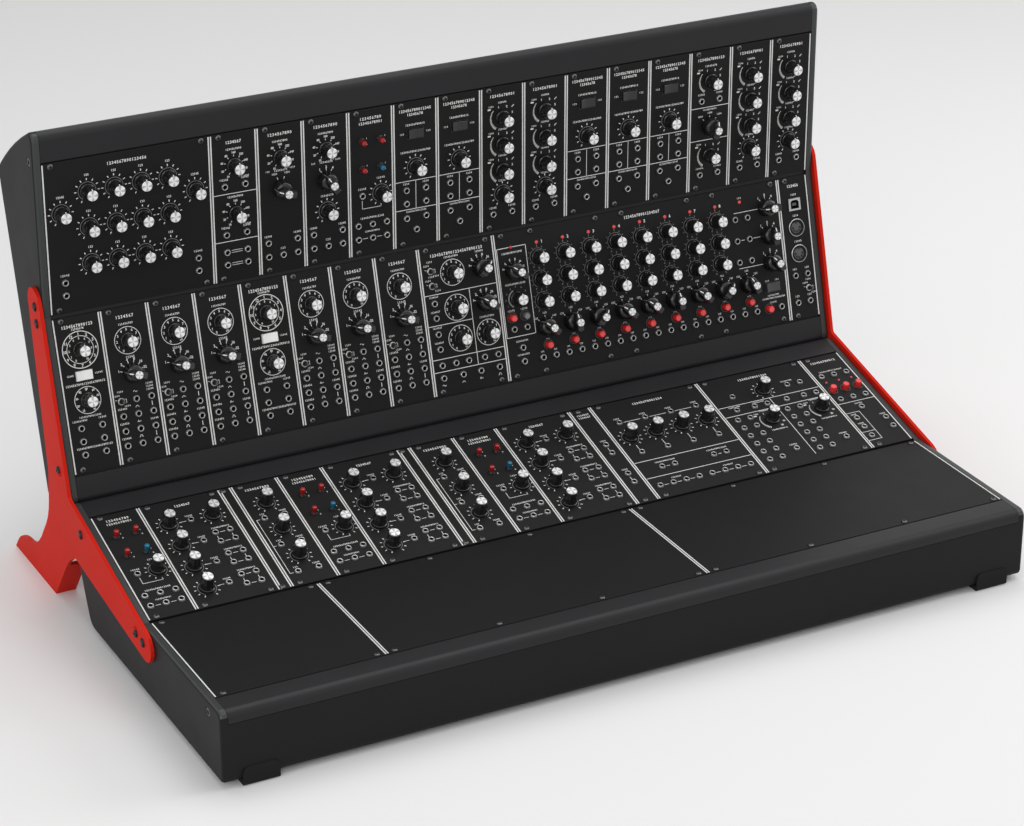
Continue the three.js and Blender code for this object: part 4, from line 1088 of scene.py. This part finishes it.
def sequential_switch(m):
    m.jack(TRIO, (100.5, 67.5))
    for x in TRIO:
        m.led(x, 92.0, 1.0)
        m.button(x, 80.7)
    m.rules((62.0,))
    m.jack(0, 52.8)
    left, right = -19.28, -5.28
    m.line((left, 48.4), (right, 48.4), (right, 9.9), (left, 9.9), (left, 48.4))
    m.line((left, 21.4), (right, 21.4))
    m.jack(-2.56, (40.0, 27.5, 15.0))
    m.jack(2.56, (33.2, 20.9))
    m.label(0, 107.0, 24, 1.6)
    m.labels(1.5, (0, 58.8, 8), (-2.56, 45.6, 6), (-2.56, 33.2, 6), (2.56, 39.2, 6))
    m.head(26)


def blank(m):
    m.screws(-m.half + 8.1, m.half - 7.6)


def wide_blank(m):
    """Its panel is bare between the screws of the row."""
    for x in FRONT_SCREWS:
        if abs(x - m.middle) < m.half:
            m.screws(x - m.middle)


# The functions that dress the kinds of modules, by the kinds' width in units
WIDTHS = {
    2: (narrow_blank,), 4: (trigger_converter,), 6: (digital_input,),
    8: (filter_module, high_pass, low_pass, control_voltages, amplifier, envelope, trigger_delay,
        oscillator_driver, oscillator, attenuators, sequential_switch),
    14: (wide_oscillator, mixer), 21: (wide_attenuators, interface), 28: (filter_bank, blank),
    56: (sequencer, wide_blank),
}
KINDS = {dress.__name__.removesuffix("_module"): (units, dress)
         for units, group in WIDTHS.items() for dress in group}

ROWS = {
    "lower_front": ["blank", "wide_blank", "wide_blank"],
    "lower_rear": 2 * ["control_voltages", "mixer", "narrow_blank", "attenuators"] + [
        "control_voltages", "mixer", "trigger_converter", "wide_attenuators", "interface",
        "sequential_switch"],
    "upper_front": 2 * ["oscillator_driver", "oscillator", "oscillator", "oscillator"] + [
        "wide_oscillator", "sequencer", "digital_input"],
    "upper_rear": ["filter_bank", "filter", "high_pass", "low_pass", "control_voltages",
                   *2 * ["amplifier"], *2 * ["envelope"], *3 * ["amplifier"], "trigger_delay",
                   *2 * ["envelope"]],
}

# Screws of the front row's wide panels, across from the middle
FRONT_SCREWS = (-206, -116, -25, 63, 79, 169, 260, 349)


def turned_about_x(angle, y, z):
    return Matrix.Translation((0, y, z)) @ Matrix.Rotation(angle, 4, "X")


CREASE = Matrix.Translation((
    0, PANEL_HEIGHT + CREASE_GAP * math.cos(SLOPE / 2), CREASE_GAP * math.sin(SLOPE / 2),
))
LOWER = turned_about_x(0, *LOWER_ORIGIN)
UPPER = turned_about_x(STAND, *UPPER_ORIGIN)
SLOPED = CREASE @ Matrix.Rotation(SLOPE, 4, "X")
ROW_MATRIX = {
    "lower_front": LOWER, "lower_rear": LOWER @ SLOPED, "upper_front": UPPER, "upper_rear": UPPER @ SLOPED,
}

# Each row's moving nodes. Their joints tell which controls they are.
MOVING = {
    "lower_front": (),
    "lower_rear": ("red_toggle", "blue_toggle", "mixer_knob", "attenuator_knob", "switch_button"),
    "upper_front": ("driver_tune_knob", "driver_rocker", "oscillator_selector", "oscillator_toggle",
                    "wide_oscillator_toggle", "sequencer_start_button", "sequencer_stop_button",
                    "sequencer_rocker", "sequencer_selector", "stage_knob", "stage_selector",
                    "stage_button"),
    "upper_rear": ("bank_low_knob", "filter_knob", "high_pass_selector", "amplifier_rocker",
                   "envelope_knob"),
}
JOINTS = {joint["child"]: joint for joint in frame["joints"]}


def control_place(node, row):
    """Where a moving node's control stands, in its row's own axes."""
    if "pos_m" in JOINTS[node]:
        spot = Vector(JOINTS[node]["pos_m"]) * 1000
    else:
        low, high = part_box(node)
        spot = (low + high) * 500
    spot = ROW_MATRIX[row].inverted() @ spot
    return spot.x, spot.y


def fixed(piece, slot, *nodes):
    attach(piece, "frame")
    if nodes:
        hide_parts(*nodes)
    return piece


def fill_row(row, seen):
    """Builds a row's modules. The first of each kind has nodes of its own in the CAD."""
    left = -ROW_WIDTH / 2
    places = {node: control_place(node, row) for node in MOVING[row]}
    for i, kind in enumerate(ROWS[row]):
        units, dress = KINDS[kind]
        half = units * HP / 2
        middle = left + half
        left += units * HP
        first = kind not in seen
        seen.add(kind)
        own = {node: (x - middle, v) for node, (x, v) in places.items() if first and abs(x - middle) < half}
        module = Module(units, row, middle, own)
        dress(module)
        module.plate()
        body = module.pen.made(f"{row}_{i + 1}_{kind}")
        fixed(body, "panel", *([f"{kind}_module"] if first else []))
        for node, shape in module.moving:
            piece = shape.made(f"{node}_piece")
            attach(piece, node)
            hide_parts(node)
        if module.own:
            raise RuntimeError(f"{kind} leaves {sorted(module.own)}")


# Rails, cases, brackets and feet

LIP_REACH = 25.3
LIP_RADIUS = 7.0
LIP_DROP = 10.0
LIP_THICK = 2.2
LIP_GAP = 1.5
LAND = -PANEL_THICK - 0.3
RAIL_BASE = LAND - 9.2
RAIL_WIDTH = 9.0
RAIL_HALF = ROW_WIDTH / 2 + 0.25 - 0.3
REAR_LIP_END = 203.2
SIDE_FACE = ROW_WIDTH / 2 + 0.25 + 6.2
BRACKET_FACE = 365.35
TRAY_HALF = ROW_WIDTH / 2 + 0.2
SAME_FACING = 0.6
MIRRORED = Matrix.Translation((0, PANEL_HEIGHT, 0)) @ Matrix.Diagonal((1, -1, 1, 1))


def slot_profile(line):
    """The nut slot under a rail's land, the same on both sides of a line."""
    half = [(-1.6, 0), (-1.6, -2), (-3.1, -2), (-3.1, -5.6)]
    return [(line + v, LAND + n) for v, n in half + [(-v, n) for v, n in half[::-1]]]


def lip_rail(end_deg, drop=False):
    """A rail's outline in its row's axes, its lip towards minus v: an arc from end_deg, or a flat drop."""
    centre_v, centre_n = LIP_RADIUS - LIP_REACH, -LIP_RADIUS

    def arc(radius, start, end, steps):
        angles = [math.radians(start + (end - start) * i / steps) for i in range(steps + 1)]
        return [(centre_v + radius * math.cos(a), centre_n + radius * math.sin(a)) for a in angles]
    outer_end = [(-LIP_REACH, -LIP_DROP)] if drop else []
    inner_end = [(-LIP_REACH + LIP_THICK, -LIP_DROP)] if drop else []
    web = -LIP_GAP - 1.6
    return (outer_end + arc(LIP_RADIUS, end_deg, 90, 16) + [(-LIP_GAP, 0), (-LIP_GAP, LAND)]
            + slot_profile(3.0)
            + [(RAIL_WIDTH, LAND), (RAIL_WIDTH, RAIL_BASE), (web, RAIL_BASE), (web, -LIP_THICK)]
            + arc(LIP_RADIUS - LIP_THICK, 90, end_deg, 12) + inner_end)


def rail(name, matrix, outline, node):
    """An outline drawn out along its row. A mirrored row turns faces over, so their sides are set last."""
    count = len(outline)
    points = [(x, v, n) for x in (-RAIL_HALF, RAIL_HALF) for v, n in outline]
    faces = [[k, count + k, count + (k + 1) % count, (k + 1) % count] for k in range(count)]
    for tri in tessellate_polygon([[Vector((v, n, 0)) for v, n in outline]]):
        faces += [list(tri), [count + t for t in tri][::-1]]
    shape = Shape(matrix)
    shape.add(points, faces, LIP)
    piece = shape.made(name)
    work = bmesh.new()
    work.from_mesh(piece.data)
    bmesh.ops.recalc_face_normals(work, faces=work.faces)
    work.to_mesh(piece.data)
    work.free()
    smooth(piece.data, SMOOTH_BELOW)
    return fixed(piece, "rail", node)


def round_screw(shape, place, side, dome, sides, material, socket):
    """A screw head on an upright face at the left or right, with a six-sided hollow."""
    spot = shape.moved(Matrix.Translation(place) @ Matrix.Rotation(side * math.pi / 2, 4, "Y"))
    spot.lathe(dome, sides, material)
    # The six-sided hollow in near black: painted shade inside it
    spot.lathe(socket, 6, SOCKET_BLACK_AND_PAINTED_SHADE)


def bracket_screws():
    places = [(42.9, 133.9), (40.8, 119.9), (10.6, 2.1), (-33.7, -35.9), (-149.6, -68.5), (-164.1, -70.2)]
    dome = [(3.9, 0), (3.85, 0.8), (3.3, 1.45), (2.3, 1.72), (1.5, 1.75)]
    for side, name in ((-1, "left"), (1, "right")):
        shape = Shape()
        for y, z in places:
            place = (side * BRACKET_FACE, y + UPPER_ORIGIN[0], z + UPPER_ORIGIN[1])
            round_screw(shape, place, side, dome, 24, BUTTON_SCREW, [(1.5, 1.75), (1.45, 0.7), (0, 0.7)])
        fixed(shape.made(f"{name}_bracket_screws"), "bracket")


def side_screws():
    """Round screws in the recesses of the case sides, near the ends of the rails."""
    dome = [(3.9, 0), (3.85, 0.5), (3.4, 0.85), (1.9, 0.95)]
    for case in ("lower", "upper"):
        shape = Shape()
        for side in (-1, 1):
            for row, v in (("front", -1.5), ("rear", PANEL_HEIGHT)):
                place = ROW_MATRIX[f"{case}_{row}"] @ Vector((side * (SIDE_FACE - 1), v, -10))
                round_screw(shape, place, side, dome, 28, SCREW, [(1.9, 0.95), (1.8, 0.2), (0, 0.2)])
        fixed(shape.made(f"{case}_side_screws"), "case_shell")


def finish_node(node, *materials):
    """Gives a CAD node its materials and smooth shading."""
    mesh = NODES[node].data
    mesh.materials.clear()
    for material in materials:
        mesh.materials.append(material)
    smooth(mesh, NODE_SMOOTH_BELOW)


def light_edges(case):
    """Puts the painted highlight, a lighter copy of the shell's coat, on the narrow faces of the side walls
    that look the way the panels do.
    """
    thing = NODES[f"{case}_case_tray"]
    turn = thing.matrix_world.to_3x3()
    facings = [ROW_MATRIX[f"{case}_{row}"].to_3x3().col[2] for row in ("front", "rear")]
    for face in thing.data.polygons:
        normal = turn @ face.normal
        middle = thing.matrix_world @ face.center
        wall = abs(middle.x) * 1000 > TRAY_HALF
        if wall and max(normal.dot(facing) for facing in facings) > SAME_FACING:
            face.material_index = 1


seen = set()
for row in ROWS:
    fill_row(row, seen)
for case in ("lower", "upper"):
    rail(f"{case}_front_lip", ROW_MATRIX[f"{case}_front"], lip_rail(180, drop=True), f"{case}_front_rail")
    mirrored = ROW_MATRIX[f"{case}_rear"] @ MIRRORED
    rail(f"{case}_rear_lip", mirrored, lip_rail(REAR_LIP_END), f"{case}_rear_rail")
    finish_node(f"{case}_case_tray", SHELL, SHELL_PAINTED_HIGHLIGHT)
    light_edges(case)
    finish_node(f"{case}_middle_rail", LIP)
    finish_node(f"{case}_supply_board", BOARD)
for side in ("left", "right"):
    finish_node(f"{side}_bracket", BRACKET)
    for end in ("front", "rear"):
        finish_node(f"{side}_{end}_foot", RUBBER)
bracket_screws()
side_screws()

# Floor, light and camera

FLOOR_REACH = 12


def backdrop():
    nodes = Nodes("pale_floor")
    nodes.set(Base_Color=(0.82, 0.82, 0.82, 1), Roughness=0.7)
    mesh = bpy.data.meshes.new("floor")
    mesh.from_pydata(level(oblong(FLOOR_REACH, FLOOR_REACH), 0), [], [(0, 1, 2, 3)])
    mesh.materials.append(nodes.block)
    floor = new_object("floor", mesh)


def world_light():
    """A pale surround that the camera and reflections see brighter than it lights."""
    nodes = Nodes("studio", bpy.data.worlds, "Background")
    bpy.context.scene.world = nodes.block
    paths = nodes.add("ShaderNodeLightPath")
    shown = paths.outputs["Is Camera Ray"]
    for ray in ("Is Transmission Ray", "Is Glossy Ray"):
        either = nodes.add("ShaderNodeMath", {0: shown, 1: paths.outputs[ray]}, operation="MAXIMUM")
        shown = either.outputs["Value"]
    nodes.set(Color=(0.93, 0.93, 0.93, 1), Strength=nodes.span(shown, 0.45, 1.0, 0, 1))


def area_light(name, place, target, size, power):
    data = bpy.data.lights.new(name, "AREA")
    data.shape = "RECTANGLE"
    data.size, data.size_y = size
    data.energy = power
    new_object(name, data, place, Vector(target) - Vector(place))


def photo_camera():
    """The camera fitted to the panel corners in the photograph."""
    data = bpy.data.cameras.new("photo_camera")
    data.sensor_fit = "HORIZONTAL"
    data.sensor_width = 36.0
    data.lens = 111.70
    data.clip_start, data.clip_end = 0.1, 50
    place = Vector((-1106.75, -2204.66 + UPPER_ORIGIN[0], 1133.42 + UPPER_ORIGIN[1])) / 1000
    bpy.context.scene.camera = new_object("photo_camera", data, place, Vector((0.4187, 0.8032, -0.4239)))


backdrop()
world_light()
area_light("top_soft", (0.4, 0.3, 2.4), (0, 0, 0.1), (2.4, 1.6), 26)
area_light("front_soft", (-1.2, -2.4, 1.6), (0, 0, 0.2), (1.8, 1.4), 22)
area_light("right_soft", (2.2, -0.4, 1.3), (0, 0, 0.2), (1.4, 1.6), 20)
area_light("left_soft", (-2.6, -0.6, 1.1), (0, 0, 0.2), (1.4, 1.4), 14)
photo_camera()
bpy.context.scene.view_settings.view_transform = "Standard"
